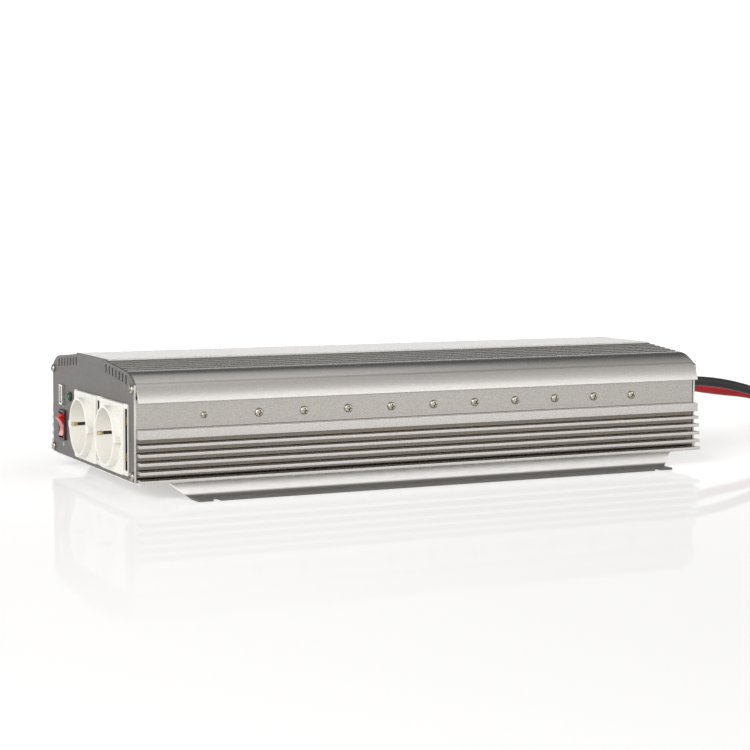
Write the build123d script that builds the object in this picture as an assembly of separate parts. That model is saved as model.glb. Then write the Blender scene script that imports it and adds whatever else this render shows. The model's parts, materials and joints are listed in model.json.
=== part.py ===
from build123d import *
import math
import os

# Power inverter: an extruded aluminium tunnel with cooling fins, closed by a front and a rear panel
# and standing on a bent base plate. Two earthed outlets, a USB outlet, a lamp and a rocker switch are
# on the front; two fans, an earth stud and the battery leads are on the rear.
# Frame: millimetres, +X along the case towards the rear panel, +Z up, z = 0 under the feet, and the
# origin below the middle of the object, measured without the battery leads.

# ---- driving sizes: case --------------------------------------------------------------------------
CASE_LENGTH = 462.0  # extrusion, end to end
CASE_HEIGHT = 80.5  # underside of the extrusion to its crown
FOOT_DROP = 12.0  # underside of the feet to the underside of the extrusion
WALL = 3.0  # side wall of the extrusion
SKIN = 2.5  # roof and shoulder of the extrusion
PANEL_T = 1.5  # front and rear panels
WALL_HALF = 96.5  # outer face of the side wall, from the middle plane
PANEL_OVER = 0.8  # panels beyond the side wall
BAND_PROUD = 7.5  # outer face of the wide band beyond the side wall
BAND_LOW = 30.0  # wide band above the underside of the extrusion
BAND_TALL = 6.65
CROWN_HALF = 35.0  # flat crown
CROWN_STEP = 0.8
FLANK_DROP = 5.0  # fall of the flank below the crown
SHOULDER_R = 26.0  # rounded shoulder, from the flank's end to above the band
LIP_ABOVE = 5.25  # underside of the shoulder's lip above the shoulder's centre
RIB_COUNT = 6
GROOVE_W = 1.8
GROOVE_DEEP = 1.0
FIN_COUNT = 5
FIN_T = 2.4
FIN_TOP_GAP = 3.6  # between the band and the first fin, and between fins
FIN_TIP_PROUD = 8.8  # tip of the top fin beyond the side wall
FIN_TIP_GROWTH = 0.68  # each fin stands out further than the one above it
FLANGE_W = 14.0  # inward flange along the bottom edge
PORT_R = 3.6  # screw ports in the four corners
PORT_GAP = 0.05  # round the screw in its port
PORT_INSET = 10.0  # port axis inside the band's face
PORT_DROP = 16.0  # upper ports below the crown
PORT_LOW = 4.2  # lower ports above the underside of the extrusion

# ---- base plate -----------------------------------------------------------------------------------
SHEET = 1.5
WEB_OUT = 2.5  # web's upper edge beyond the side wall
WEB_LEAN = 11.0  # and its lower edge beyond that
FOOT_W = 12.5
WEB_INSET = 23.5  # web ends inside the case ends, at the top
FOOT_INSET = 36.0  # and at the foot
NOTCH_INSET = 13.5  # notch axis inside the end of the foot
NOTCH_W = 5.5
NOTCH_DEEP = 8.0

# ---- fasteners ------------------------------------------------------------------------------------
SCREW_R = 1.45  # shank of the panel, base and clamp screws
SCREW_HEAD_R = 3.1
SCREW_HEAD_T = 2.2
SMALL_HEAD_R = 2.3
SMALL_SCREW_R = 1.2
HOLE_GAP = 0.15  # clearance round a shank in a plain hole
PANEL_SCREW_LONG = 10.0
CLAMP_SCREW_COUNT = 10
CLAMP_SCREW_FIRST = 91.0  # from the front end of the extrusion
CLAMP_SCREW_LAST = 57.8  # from the rear end
SIDE_SCREW_AT = 49.7
SIDE_SCREW_HIGH = 44.8

# ---- outlets --------------------------------------------------------------------------------------
RECESS_R = 19.5
RECESS_DEEP = 17.5
RING_W = 2.0
RING_PROUD = 5.2  # ring above the block
BLOCK_SIDE = 4.0  # block beyond the ring, to each side
BLOCK_END = 3.5  # and above and below
BLOCK_PROUD = 3.0  # block above the panel
PLATE_SIDE = 5.2  # plate beyond the block, to each side
PLATE_PROUD = 0.8
RIM = 1.6  # rim that holds an outlet behind the panel's cut-out
RIM_T = 1.5
PLATE_GAP = 0.2  # between the two plates
OUTLET_EDGE = 42.9  # first outlet's axis inside the panel's near edge
OUTLET_LOW = 3.2  # block above the underside of the extrusion
OUTLET_FLOOR = 3.0
OUTLET_BACK = 15.5
BACK_WALL = 2.0
BRIDGE_T = 5.3  # bars that join the ring to the block's sides
BRIDGE_SHORT = 1.5
PIN_PITCH = 19.0
PIN_HOLE_R = 2.7
CLIP_W = 1.6
CLIP_SLOT_DEEP = 4.0
SIDE_SLOT_W = 4.4
SIDE_SLOT_SHORT = 6.8  # slot shorter than the block
RIB_W = 4.6
RIB_IN = 2.2
FIT_GAP = 0.2  # between a moulding and the cut-out that it sits in

# ---- switch, USB outlet and lamp ------------------------------------------------------------------
SWITCH_OUT = 32.1  # switch's axis beyond the outlets' plates
SWITCH_HIGH = 23.0
BEZEL_W = 15.5
BEZEL_H = 23.0
BEZEL_PROUD = 2.0
BEZEL_LIP = 1.2  # bezel beyond the switch's body
SWITCH_DEEP = 18.0
ROCKER_R = 9.4  # rocker's ends, about its pivot
ROCKER_W = 10.0
ROCKER_GAP = 0.3
ROCKER_HALF_ANGLE = 48.0
ROCKER_TILT = 12.0
PIVOT_IN = 2.0  # pivot behind the panel's face
PIVOT_R = 1.5
PIVOT_GAP = 0.05
USB_OUT = 33.1
USB_HIGH = 46.0
USB_W = 5.7
USB_H = 13.1
USB_PROUD = 2.0
USB_DEEP = 14.0
USB_SHEET = 0.4
USB_LIP = 1.2
LAMP_OUT = 13.1
LAMP_HIGH = 46.2
LAMP_R = 2.5
LAMP_RING_R = 3.7

# ---- vents ----------------------------------------------------------------------------------------
VENT_COUNT = 7
VENT_FIRST = 35.9
VENT_PITCH = 7.4
VENT_W = 2.8
VENT_LOW = 8.2  # slot's lower end below the outline
VENT_HIGH = 2.4  # and its upper end

# ---- fans -----------------------------------------------------------------------------------------
FAN_SIZE = 60.0
FAN_T = 15.0
FAN_RIM = 1.2  # thinnest wall round the bore
FAN_Y = 60.0
FAN_HIGH = 35.0
FAN_HOLE_INSET = 5.0
FAN_HUB_R = 13.0
FAN_TIP_GAP = 1.2  # between the blades and the bore
FAN_BLADES = 7
FAN_SHAFT_R = 1.5
SHAFT_GAP = 0.05
GUARD_T = 1.8  # wire of the fan guards
GUARD_FIRST_R = 8.0
GUARD_EDGE = 2.8  # last ring inside the bore
GUARD_RING_COUNT = 4

# ---- rear: earth stud and battery leads -----------------------------------------------------------
STUD_R = 2.5
STUD_PROUD = 12.0
STUD_COLLAR = 4.0  # six-sided collar outside the panel, and the nut inside
STUD_FLATS = 8.0
STUD_HIGH = 16.0
LEAD_D = 8.0
LEAD_Y = 13.0
LEAD_HIGH = 45.0
RELIEF_LONG = 28.0
RELIEF_NECK_WALL = 3.0  # rubber round the lead in the panel
RELIEF_TIP_WALL = 1.4
RELIEF_LIP = 2.0  # flange beyond the neck
RELIEF_FLANGE = 3.0
LEAD_LENGTH = 700.0
COIL_R = 44.0  # middle of the turns
COIL_X = 478.0
FLOOR_GAP = 0.2  # under the lead where it lies
LUG_LONG = 38.0
LUG_W = 17.0
LUG_T = 2.4
LUG_HOLE_R = 4.2
BARREL_LONG = 16.0

# ---- electronics ----------------------------------------------------------------------------------
BOARD_T = 1.6
BOARD_SIDE_GAP = 7.5  # board inside the side wall
BOARD_FRONT = 42.0  # board's front edge behind the front end of the extrusion
BOARD_REAR = 34.0
STANDOFF_H = 8.0
STANDOFF_R = 3.0
STANDOFF_EDGE = 8.0
TRANSFORMER_PITCH = 70.0
TRANSFORMER_BACK = 24.1  # middle transformer in front of the board's middle
TRANSFORMER_W = 56.0
TRANSFORMER_LONG = 44.0
TRANSFORMER_H = 42.0
TRANSFORMER_LIFT = 5.0  # above the board, on its pins
CORE_T = 21.0
CORE_SIDE = 9.0  # outer limbs and yokes of a core
LIMB_HALF = 10.0
INPUT_CAN_R = 8.0
INPUT_CAN_H = 34.0
INPUT_CAN_PITCH = 19.0
INPUT_CAN_Y = 38.0
INPUT_CANS_END = 65.1  # rearmost cans' axis from the board's rear edge
BULK_CAN_R = 15.0
BULK_CAN_H = 46.0
BULK_CAN_Y = 26.0
BULK_CAN_START = 50.9  # from the board's front edge
CHOKE_R = 14.0
CHOKE_WIRE_R = 6.0
CHOKE_Y = 64.0
FUSE_COUNT = 6
FUSE_PITCH = 15.0
FUSE_LONG = 19.0
FUSE_END = 26.1
CONTROL_START = 10.9
CONTROL_LONG = 50.0
CONTROL_H = 38.0
CONTROL_Y = -66.0
BUZZER_START = 25.9
BUZZER_R = 6.0
BUZZER_H = 8.0
CHIP_W = 10.2
CHIP_T = 4.5
CHIP_H = 15.5
LEG_PITCH = 2.5
LEG_W = 0.8
LEG_T = 0.6
STRIP_T = 0.3
BAR_T = 3.0
BAR_H = 8.0

# ---- places worked out from the sizes -------------------------------------------------------------
OUTLET_PROUD = BLOCK_PROUD + RING_PROUD
FRONT_FACE = (OUTLET_PROUD - STUD_PROUD - CASE_LENGTH) / 2 - PANEL_T
CASE_FRONT = FRONT_FACE + PANEL_T
CASE_REAR = CASE_FRONT + CASE_LENGTH
REAR_FACE = CASE_REAR + PANEL_T
TOP = FOOT_DROP + CASE_HEIGHT
FLANK_TOP = TOP - CROWN_STEP
INNER_HALF = WALL_HALF - WALL
PANEL_HALF = WALL_HALF + PANEL_OVER
BAND_HALF = WALL_HALF + BAND_PROUD
FLANK_HALF = BAND_HALF - SHOULDER_R
SHOULDER_Z = TOP - FLANK_DROP - SHOULDER_R
LIP_Z = SHOULDER_Z + LIP_ABOVE
PORT_Y = BAND_HALF - PORT_INSET
PORT_ZS = (TOP - PORT_DROP, FOOT_DROP + PORT_LOW)
WEB_TOP_HALF = WALL_HALF + WEB_OUT
WEB_FOOT_HALF = WEB_TOP_HALF + WEB_LEAN
FOOT_HALF = WEB_FOOT_HALF + FOOT_W
RING_R = RECESS_R + RING_W
BLOCK_W = 2 * (RING_R + BLOCK_SIDE)
BLOCK_H = 2 * (RING_R + BLOCK_END)
PLATE_W = BLOCK_W + 2 * PLATE_SIDE
OUTLET_Z = FOOT_DROP + OUTLET_LOW + BLOCK_H / 2
OUTLET_YS = (OUTLET_EDGE - PANEL_HALF, OUTLET_EDGE - PANEL_HALF + PLATE_W + PLATE_GAP)
PLATES_END = OUTLET_YS[1] + PLATE_W / 2
RECESS_FLOOR = FRONT_FACE - OUTLET_PROUD + RECESS_DEEP
OUTLET_REAR = RECESS_FLOOR + OUTLET_FLOOR
SWITCH_BODY_W, SWITCH_BODY_H = BEZEL_W - 2 * BEZEL_LIP, BEZEL_H - 2 * BEZEL_LIP
SWITCH_Y, SWITCH_Z = PLATES_END + SWITCH_OUT, FOOT_DROP + SWITCH_HIGH
USB_Y, USB_Z = PLATES_END + USB_OUT, FOOT_DROP + USB_HIGH
LAMP_Y, LAMP_Z = PLATES_END + LAMP_OUT, FOOT_DROP + LAMP_HIGH
FAN_Z = FOOT_DROP + FAN_HIGH
FAN_X = CASE_REAR - FAN_T
FAN_BORE_R = FAN_SIZE / 2 - FAN_RIM
FAN_TIP_R = FAN_BORE_R - FAN_TIP_GAP
FAN_HOLE_HALF = FAN_SIZE / 2 - FAN_HOLE_INSET
STUD_Z = FOOT_DROP + STUD_HIGH
RELIEF_NECK_R = LEAD_D / 2 + RELIEF_NECK_WALL
RELIEF_ROOT_R = RELIEF_NECK_R + RELIEF_LIP
LEAD_Z = FOOT_DROP + LEAD_HIGH
BOARD_Z = FOOT_DROP + STANDOFF_H
BOARD_TOP = BOARD_Z + BOARD_T
BOARD_HALF = INNER_HALF - BOARD_SIDE_GAP
BOARD_START = CASE_FRONT + BOARD_FRONT
BOARD_END = CASE_REAR - BOARD_REAR
SIDE_SCREW_Z = FOOT_DROP + SIDE_SCREW_HIGH
CLAMP_SCREW_PITCH = (CASE_LENGTH - CLAMP_SCREW_FIRST - CLAMP_SCREW_LAST) / (CLAMP_SCREW_COUNT - 1)
CLAMP_SCREW_XS = [CASE_FRONT + CLAMP_SCREW_FIRST + i * CLAMP_SCREW_PITCH for i in range(CLAMP_SCREW_COUNT)]
CHIP_Y = INNER_HALF - STRIP_T  # mounting face of the transistors
BAR_Y = CHIP_Y - CHIP_T - BAR_T / 2


# ---- helpers --------------------------------------------------------------------------------------
def box(x, y, z):
    """A block between two values on each axis."""
    (x0, x1), (y0, y1), (z0, z1) = sorted(x), sorted(y), sorted(z)
    return Pos((x0 + x1) / 2, (y0 + y1) / 2, (z0 + z1) / 2) * Box(x1 - x0, y1 - y0, z1 - z0)


def span(middle, width):
    return (middle - width / 2, middle + width / 2)


def rod_x(x, y, z, radius):
    """A cylinder along X, between two values of x."""
    return Pos((x[0] + x[1]) / 2, y, z) * Rot(0, 90, 0) * Cylinder(radius, abs(x[1] - x[0]))


def rod_y(x, y, z, radius):
    return Pos(x, (y[0] + y[1]) / 2, z) * Rot(90, 0, 0) * Cylinder(radius, abs(y[1] - y[0]))


def rod_z(x, y, z, radius):
    return Pos(x, y, (z[0] + z[1]) / 2) * Cylinder(radius, abs(z[1] - z[0]))


def along_x(face, x):
    """A face drawn in (y, z) on the plane x = 0, extruded between two values of x."""
    return Pos(min(x), 0, 0) * extrude(face, abs(x[1] - x[0]), dir=(1, 0, 0))


def yz_face(points):
    return make_face(Polyline([(0, y, z) for y, z in points], close=True))


def yz_rect(y, z):
    return yz_face([(y[0], z[0]), (y[1], z[0]), (y[1], z[1]), (y[0], z[1])])


def both_sides(shape):
    return shape + mirror(shape, about=Plane.XZ)


def group(solids):
    """Separate solids of one kind in one node."""
    return Compound([s for shape in solids for s in shape.solids()])


def cross_cut(depth, reach):
    """The crossed slot of a screw's head, sunk from z = 0."""
    bar = Pos(0, 0, -depth / 2) * Box(2 * reach, 0.8, depth)
    return bar + Rot(0, 0, 90) * bar


def pan_screw(head_r, head_t, shank_r, long):
    """A screw along -Z, with the underside of its head on z = 0."""
    head = Pos(0, 0, head_t / 2) * Cylinder(head_r, head_t)
    head = fillet(head.faces().sort_by(Axis.Z)[-1].edges(), head_t * 0.55)
    head -= Pos(0, 0, head_t) * cross_cut(head_t * 0.55, head_r * 0.6)
    return head + Pos(0, 0, -long / 2) * Cylinder(shank_r, long)


# ---- case -----------------------------------------------------------------------------------------
def roof_height(half):
    """Outer surface of the roof at a distance from the middle plane."""
    if half <= CROWN_HALF:
        return TOP
    if half <= FLANK_HALF:
        share = (half - CROWN_HALF) / (FLANK_HALF - CROWN_HALF)
        return FLANK_TOP - share * (FLANK_DROP - CROWN_STEP)
    return SHOULDER_Z + math.sqrt(SHOULDER_R**2 - (half - FLANK_HALF) ** 2)


def roof_face(inset, low):
    """Right half of the area under the roof, its outline moved in by an inset, down to a height."""
    radius = SHOULDER_R - inset
    end_half = FLANK_HALF + math.sqrt(radius**2 - max(low - SHOULDER_Z, 0) ** 2)
    turn = math.atan2(low - SHOULDER_Z, end_half - FLANK_HALF)
    middle = (math.pi / 2 + turn) / 2
    top = [(0, TOP - inset), (CROWN_HALF, TOP - inset), (CROWN_HALF, FLANK_TOP - inset)]
    top.append((FLANK_HALF, SHOULDER_Z + radius))
    lines = Polyline([(0, y, z) for y, z in top])
    arc = ThreePointArc(
        (0, FLANK_HALF, SHOULDER_Z + radius),
        (0, FLANK_HALF + radius * math.cos(middle), SHOULDER_Z + radius * math.sin(middle)),
        (0, end_half, low),
    )
    rest = Polyline([(0, end_half, low), (0, 0, low), (0, 0, TOP - inset)])
    return make_face([*lines.edges(), arc.edge(), *rest.edges()])


def case_half_section():
    """Right half of the extrusion's section, drawn in (y, z)."""
    section = roof_face(0, LIP_Z) - roof_face(SKIN, LIP_Z - 1)
    section += yz_rect((INNER_HALF, WALL_HALF), (FOOT_DROP, LIP_Z + SKIN))
    lip_half = FLANK_HALF + math.sqrt((SHOULDER_R - SKIN / 2) ** 2 - LIP_ABOVE**2)
    section += yz_rect((WALL_HALF, lip_half), (LIP_Z, LIP_Z + SKIN))
    band_z = FOOT_DROP + BAND_LOW
    section += yz_rect((WALL_HALF, BAND_HALF), (band_z, band_z + BAND_TALL))
    for i in range(FIN_COUNT):
        fin_z = band_z - (i + 1) * (FIN_TOP_GAP + FIN_T)
        tip = WALL_HALF + FIN_TIP_PROUD + i * FIN_TIP_GROWTH
        section += yz_rect((WALL_HALF, tip), (fin_z, fin_z + FIN_T))
    section += yz_rect((INNER_HALF - FLANGE_W, INNER_HALF), (FOOT_DROP, FOOT_DROP + WALL))
    pitch = (FLANK_HALF - CROWN_HALF) / RIB_COUNT
    for i in range(RIB_COUNT):
        groove = CROWN_HALF + (i + 0.5) * pitch
        surface = roof_height(groove)
        section -= yz_rect(span(groove, GROOVE_W), (surface - GROOVE_DEEP, surface + 1))
    for z in PORT_ZS:
        place = Pos(0, PORT_Y, z) * Rot(0, 90, 0)
        section += place * Circle(PORT_R)
        section -= place * Circle(SCREW_R + PORT_GAP)
    return section


def case_extrusion():
    case = both_sides(along_x(case_half_section(), (CASE_FRONT, CASE_REAR)))
    for side in (-1, 1):
        wall = (side * (INNER_HALF - 1), side * (WALL_HALF + 1))
        for x in CLAMP_SCREW_XS:
            case -= rod_y(x, wall, SIDE_SCREW_Z, SCREW_R + HOLE_GAP)
        case -= rod_y(CASE_FRONT + SIDE_SCREW_AT, wall, SIDE_SCREW_Z, SMALL_SCREW_R + HOLE_GAP)
        for x, y in base_screw_places():
            case -= rod_z(x, y, (FOOT_DROP - 1, FOOT_DROP + WALL + 1), SCREW_R + HOLE_GAP)
    return case


def base_screw_places():
    y = INNER_HALF - FLANGE_W / 2
    ends = (CASE_FRONT + WEB_INSET, (CASE_FRONT + CASE_REAR) / 2, CASE_REAR - WEB_INSET)
    return [(x, side * y) for x in ends for side in (-1, 1)]


def base_plate():
    top = FOOT_DROP
    side = yz_face(
        [
            (WEB_TOP_HALF - SHEET, top - SHEET),
            (WEB_TOP_HALF - SHEET, top),
            (WEB_TOP_HALF, top),
            (WEB_FOOT_HALF, SHEET),
            (FOOT_HALF, SHEET),
            (FOOT_HALF, 0),
            (WEB_FOOT_HALF - SHEET, 0),
            (WEB_TOP_HALF - SHEET, top - SHEET),
        ][:-1]
    )
    ends = (CASE_FRONT + WEB_INSET, CASE_REAR - WEB_INSET)
    wing = along_x(side, ends)
    for x, way in ((ends[0], 1), (ends[1], -1)):
        slant = FOOT_INSET - WEB_INSET
        corner = Polyline(
            [
                (x - way, 0, top - SHEET),
                (x, 0, top - SHEET),
                (x + way * slant, 0, SHEET),
                (x + way * slant, 0, -1),
                (x - way, 0, -1),
            ],
            close=True,
        )
        wing -= Pos(0, WEB_TOP_HALF, 0) * extrude(make_face(corner), FOOT_HALF, dir=(0, 1, 0))
        notch_x = x + way * (slant + NOTCH_INSET)
        mouth = FOOT_HALF - NOTCH_DEEP + NOTCH_W / 2
        wing -= box((notch_x - NOTCH_W / 2, notch_x + NOTCH_W / 2), (mouth, FOOT_HALF + 1), (-1, SHEET + 1))
        wing -= rod_z(notch_x, mouth, (-1, SHEET + 1), NOTCH_W / 2)
    plate = box((CASE_FRONT, CASE_REAR), (-WEB_TOP_HALF + SHEET, WEB_TOP_HALF - SHEET), (top - SHEET, top))
    plate += both_sides(wing)
    for x, y in base_screw_places():
        plate -= rod_z(x, y, (top - SHEET - 1, top + 1), SCREW_R + HOLE_GAP)
    return plate


def base_screws():
    screw = Rot(180, 0, 0) * pan_screw(SCREW_HEAD_R, SCREW_HEAD_T * 0.8, SCREW_R, SHEET + WALL + 3)
    return group([Pos(x, y, FOOT_DROP - SHEET) * screw for x, y in base_screw_places()])


def panel_blank(x):
    """A panel that follows the case's outline, with its four corner holes."""
    half = roof_face(0, SHOULDER_Z + 1) + yz_rect((0, FLANK_HALF), (FOOT_DROP, SHOULDER_Z + 1))
    half += yz_rect((0, PANEL_HALF), (FOOT_DROP, SHOULDER_Z + 1))
    half = half & yz_rect((0, PANEL_HALF), (0, TOP + 1))
    panel = both_sides(along_x(half, x))
    for y, z in port_places():
        panel -= rod_x((x[0] - 1, x[1] + 1), y, z, SCREW_R + HOLE_GAP)
    return panel


def port_places():
    return [(side * PORT_Y, z) for side in (-1, 1) for z in PORT_ZS]


def front_panel():
    panel = panel_blank((FRONT_FACE, CASE_FRONT))
    through = (FRONT_FACE - 1, CASE_FRONT + 1)
    sides = (OUTLET_YS[0] - PLATE_W / 2 - FIT_GAP, PLATES_END + FIT_GAP)
    panel -= box(through, sides, span(OUTLET_Z, BLOCK_H + 2 * FIT_GAP))
    for side in (-1, 1):
        for i in range(VENT_COUNT):
            half = VENT_FIRST + i * VENT_PITCH
            top = roof_height(half)
            panel -= box(through, span(side * half, VENT_W), (top - VENT_LOW, top - VENT_HIGH))
    room = 2 * FIT_GAP
    panel -= box(through, span(SWITCH_Y, SWITCH_BODY_W + room), span(SWITCH_Z, SWITCH_BODY_H + room))
    panel -= box(through, span(USB_Y, USB_W + room), span(USB_Z, USB_H + room))
    panel -= rod_x(through, LAMP_Y, LAMP_Z, LAMP_R + FIT_GAP)
    return panel


def rear_panel():
    panel = panel_blank((CASE_REAR, REAR_FACE))
    through = (CASE_REAR - 1, REAR_FACE + 1)
    for side in (-1, 1):
        panel -= rod_x(through, side * FAN_Y, FAN_Z, FAN_BORE_R)
        for y, z in fan_hole_places(side):
            panel -= rod_x(through, y, z, SCREW_R + HOLE_GAP)
        panel -= rod_x(through, side * LEAD_Y, LEAD_Z, RELIEF_NECK_R + FIT_GAP)
    panel -= rod_x(through, 0, STUD_Z, STUD_R + FIT_GAP)
    return panel


def panel_screws(face, way):
    """Four corner screws; way is -1 on the front panel and 1 on the rear one."""
    screw = Rot(0, way * 90, 0) * pan_screw(SCREW_HEAD_R, SCREW_HEAD_T, SCREW_R, PANEL_SCREW_LONG)
    return group([Pos(face, y, z) * screw for y, z in port_places()])


def side_screws(places, head_r, shank_r, long):
    """Screws through both side walls, with their heads in the channel outside."""
    screw = pan_screw(head_r, SCREW_HEAD_T * 0.9, shank_r, long)
    made = [Pos(x, s * WALL_HALF, SIDE_SCREW_Z) * Rot(-s * 90, 0, 0) * screw for x in places for s in (-1, 1)]
    return group(made)


def hex_prism(flats, thick):
    return extrude(RegularPolygon(flats / 2, 6, major_radius=False), thick)


def side_nuts():
    """Nuts inside the case, behind the two small side screws."""
    nuts = []
    for side in (-1, 1):
        nut = hex_prism(5.0, 2.0) - Cylinder(SMALL_SCREW_R + HOLE_GAP, 10)
        place = Pos(CASE_FRONT + SIDE_SCREW_AT, side * INNER_HALF, SIDE_SCREW_Z)
        nuts.append(place * Rot(side * 90, 0, 0) * nut)
    return group(nuts)


# ---- outlets --------------------------------------------------------------------------------------
def outlet_housing(y):
    face = FRONT_FACE - BLOCK_PROUD
    rim = face - RING_PROUD
    half_w, z = BLOCK_W / 2, OUTLET_Z
    across, plate, high = span(y, BLOCK_W), span(y, PLATE_W), span(z, BLOCK_H)
    block = box((face, CASE_FRONT), across, high)
    front_edges = block.faces().sort_by(Axis.X)[0].edges()
    body = fillet(front_edges, 1.2)
    body += box((FRONT_FACE - PLATE_PROUD, CASE_FRONT), plate, high)
    body += box((CASE_FRONT, CASE_FRONT + RIM_T), plate, (high[0], high[1] + RIM))
    body += box((CASE_FRONT, OUTLET_REAR), across, high)
    body += rod_x((rim, face), y, z, RING_R)
    body += box((rim, face), span(y, BLOCK_W - 2 * BRIDGE_SHORT), span(z, BRIDGE_T))
    body -= rod_x((rim - 1, RECESS_FLOOR), y, z, RECESS_R)
    for way in (-1, 1):
        body -= rod_x((RECESS_FLOOR - 1, OUTLET_REAR + 1), y, z + way * PIN_PITCH / 2, PIN_HOLE_R)
        clip = (y + way * (RECESS_R - 1), y + way * (RECESS_R + CLIP_SLOT_DEEP))
        body -= box((rim + 1.6, RECESS_FLOOR), clip, span(z, CLIP_W + 2 * FIT_GAP))
        rib = (z + way * (RECESS_R - RIB_IN), z + way * (RECESS_R + 0.5))
        body += box((rim + 3.0, RECESS_FLOOR), span(y, RIB_W), rib)
        slot = (y + way * (half_w + 0.4), y + way * (half_w + 0.4 + SIDE_SLOT_W))
        body -= box((FRONT_FACE - 2, CASE_FRONT + 2), slot, span(z, BLOCK_H - SIDE_SLOT_SHORT))
    return body


def outlet_back(y):
    """Hollow rear cover of an outlet, open towards the housing and notched for the terminals."""
    rear = OUTLET_REAR + OUTLET_BACK
    cover = box((OUTLET_REAR, rear), span(y, BLOCK_W), span(OUTLET_Z, BLOCK_H))
    inside = span(y, BLOCK_W - 2 * BACK_WALL), span(OUTLET_Z, BLOCK_H - 2 * BACK_WALL)
    cover -= box((OUTLET_REAR - 1, rear - BACK_WALL), *inside)
    for way in (-1, 1):
        cover -= rod_x((rear - BACK_WALL - 1, rear + 1), y, OUTLET_Z + way * PIN_PITCH / 2, 3.0)
    return cover


def earth_clips(y):
    """Two sprung brass strips, one in each side slot of the recess."""
    clips = []
    rim = FRONT_FACE - BLOCK_PROUD - RING_PROUD
    for way in (-1, 1):
        outline = Polyline(
            [
                (rim + 2.2, y + way * (RECESS_R + 3.2), 0),
                (rim + 2.2, y + way * (RECESS_R + 0.6), 0),
                (rim + 6.5, y + way * (RECESS_R - 2.4), 0),
                (RECESS_FLOOR - 1.0, y + way * (RECESS_R + 0.4), 0),
                (RECESS_FLOOR - 1.0, y + way * (RECESS_R + 1.6), 0),
                (rim + 6.5, y + way * (RECESS_R - 1.2), 0),
                (rim + 3.4, y + way * (RECESS_R + 1.4), 0),
                (rim + 3.4, y + way * (RECESS_R + 3.2), 0),
            ],
            close=True,
        )
        strip = extrude(make_face(outline), CLIP_W, dir=(0, 0, 1))
        clips.append(Pos(0, 0, OUTLET_Z - CLIP_W / 2) * strip)
    return group(clips)


def outlet_contacts():
    """Line and neutral sleeves behind the pin holes."""
    sleeves = []
    for y, way in [(y, way) for y in OUTLET_YS for way in (-1, 1)]:
        z = OUTLET_Z + way * PIN_PITCH / 2
        sleeve = rod_x((OUTLET_REAR, OUTLET_REAR + 12.0), y, z, 3.6)
        sleeve -= rod_x((OUTLET_REAR - 1, OUTLET_REAR + 10.0), y, z, 2.35)
        sleeve -= box((OUTLET_REAR - 1, OUTLET_REAR + 8), (y - 0.4, y + 0.4), (z - 5, z + 5))
        sleeve += box((OUTLET_REAR + 12.0, OUTLET_REAR + OUTLET_BACK + 6), (y - 2, y + 2), (z - 0.5, z + 0.5))
        sleeves.append(sleeve)
    return group(sleeves)


def side_terminals():
    """Brass terminal blocks that show in the slots beside each outlet's block."""
    blocks = []
    for y, way in [(y, way) for y in OUTLET_YS for way in (-1, 1)]:
        at = y + way * (BLOCK_W / 2 + 0.2)
        for z in (OUTLET_Z - 12.0, OUTLET_Z + 13.0):
            blocks.append(box((CASE_FRONT + 1.8, CASE_FRONT + 8.8), (at, at + way * 4.0), (z - 2.6, z + 2.6)))
    return group(blocks)


# ---- switch, USB outlet and lamp ------------------------------------------------------------------
def switch_body():
    """Bezel and housing of the rocker switch, open in front for the rocker."""
    y, z = SWITCH_Y, SWITCH_Z
    bezel = box((FRONT_FACE - BEZEL_PROUD, FRONT_FACE), span(y, BEZEL_W), span(z, BEZEL_H))
    bezel = fillet(bezel.edges().filter_by(Axis.X), 1.5)
    rear = FRONT_FACE + SWITCH_DEEP
    body = bezel + box((FRONT_FACE, rear), span(y, SWITCH_BODY_W), span(z, SWITCH_BODY_H))
    well_w, well_r = ROCKER_W / 2 + ROCKER_GAP, ROCKER_R + ROCKER_GAP
    pivot_x = FRONT_FACE + PIVOT_IN
    body -= rod_y(pivot_x, (y - well_w, y + well_w), z, well_r)
    body -= box((FRONT_FACE - BEZEL_PROUD - 1, pivot_x), (y - well_w, y + well_w), (z - well_r, z + well_r))
    for way in (-1, 1):
        outer = y + way * (well_w + 1.0)
        body -= rod_y(pivot_x, (y + way * (well_w - 0.1), outer), z, PIVOT_R + PIVOT_GAP)
        body += box((rear, rear + 7), span(y, 4.8), span(z + way * 6, 0.8))
    return body


def rocker():
    """Red rocker with a hollowed face, its upper end standing out; it turns on two short pins."""
    half = math.radians(ROCKER_HALF_ANGLE)
    end = (ROCKER_R * math.cos(half), ROCKER_R * math.sin(half))
    shoulder = math.radians((90 + ROCKER_HALF_ANGLE) / 2)
    curve = (ROCKER_R * math.cos(shoulder), ROCKER_R * math.sin(shoulder))
    hollow = end[0] - 2.4
    face = ThreePointArc((-end[0], 0, end[1]), (-hollow, 0, 0), (-end[0], 0, -end[1]))
    upper = ThreePointArc((-end[0], 0, end[1]), (-curve[0], 0, curve[1]), (0, 0, ROCKER_R))
    lower = ThreePointArc((-end[0], 0, -end[1]), (-curve[0], 0, -curve[1]), (0, 0, -ROCKER_R))
    back = Line((0, 0, ROCKER_R), (0, 0, -ROCKER_R))
    profile = make_face([face.edge(), upper.edge(), lower.edge(), back.edge()])
    body = Pos(0, -ROCKER_W / 2, 0) * extrude(profile, ROCKER_W, dir=(0, 1, 0))
    body += rod_y(0, (-ROCKER_W / 2 - 0.9, ROCKER_W / 2 + 0.9), 0, PIVOT_R)
    return Pos(FRONT_FACE + PIVOT_IN, SWITCH_Y, SWITCH_Z) * Rot(0, -ROCKER_TILT, 0) * body


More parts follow.
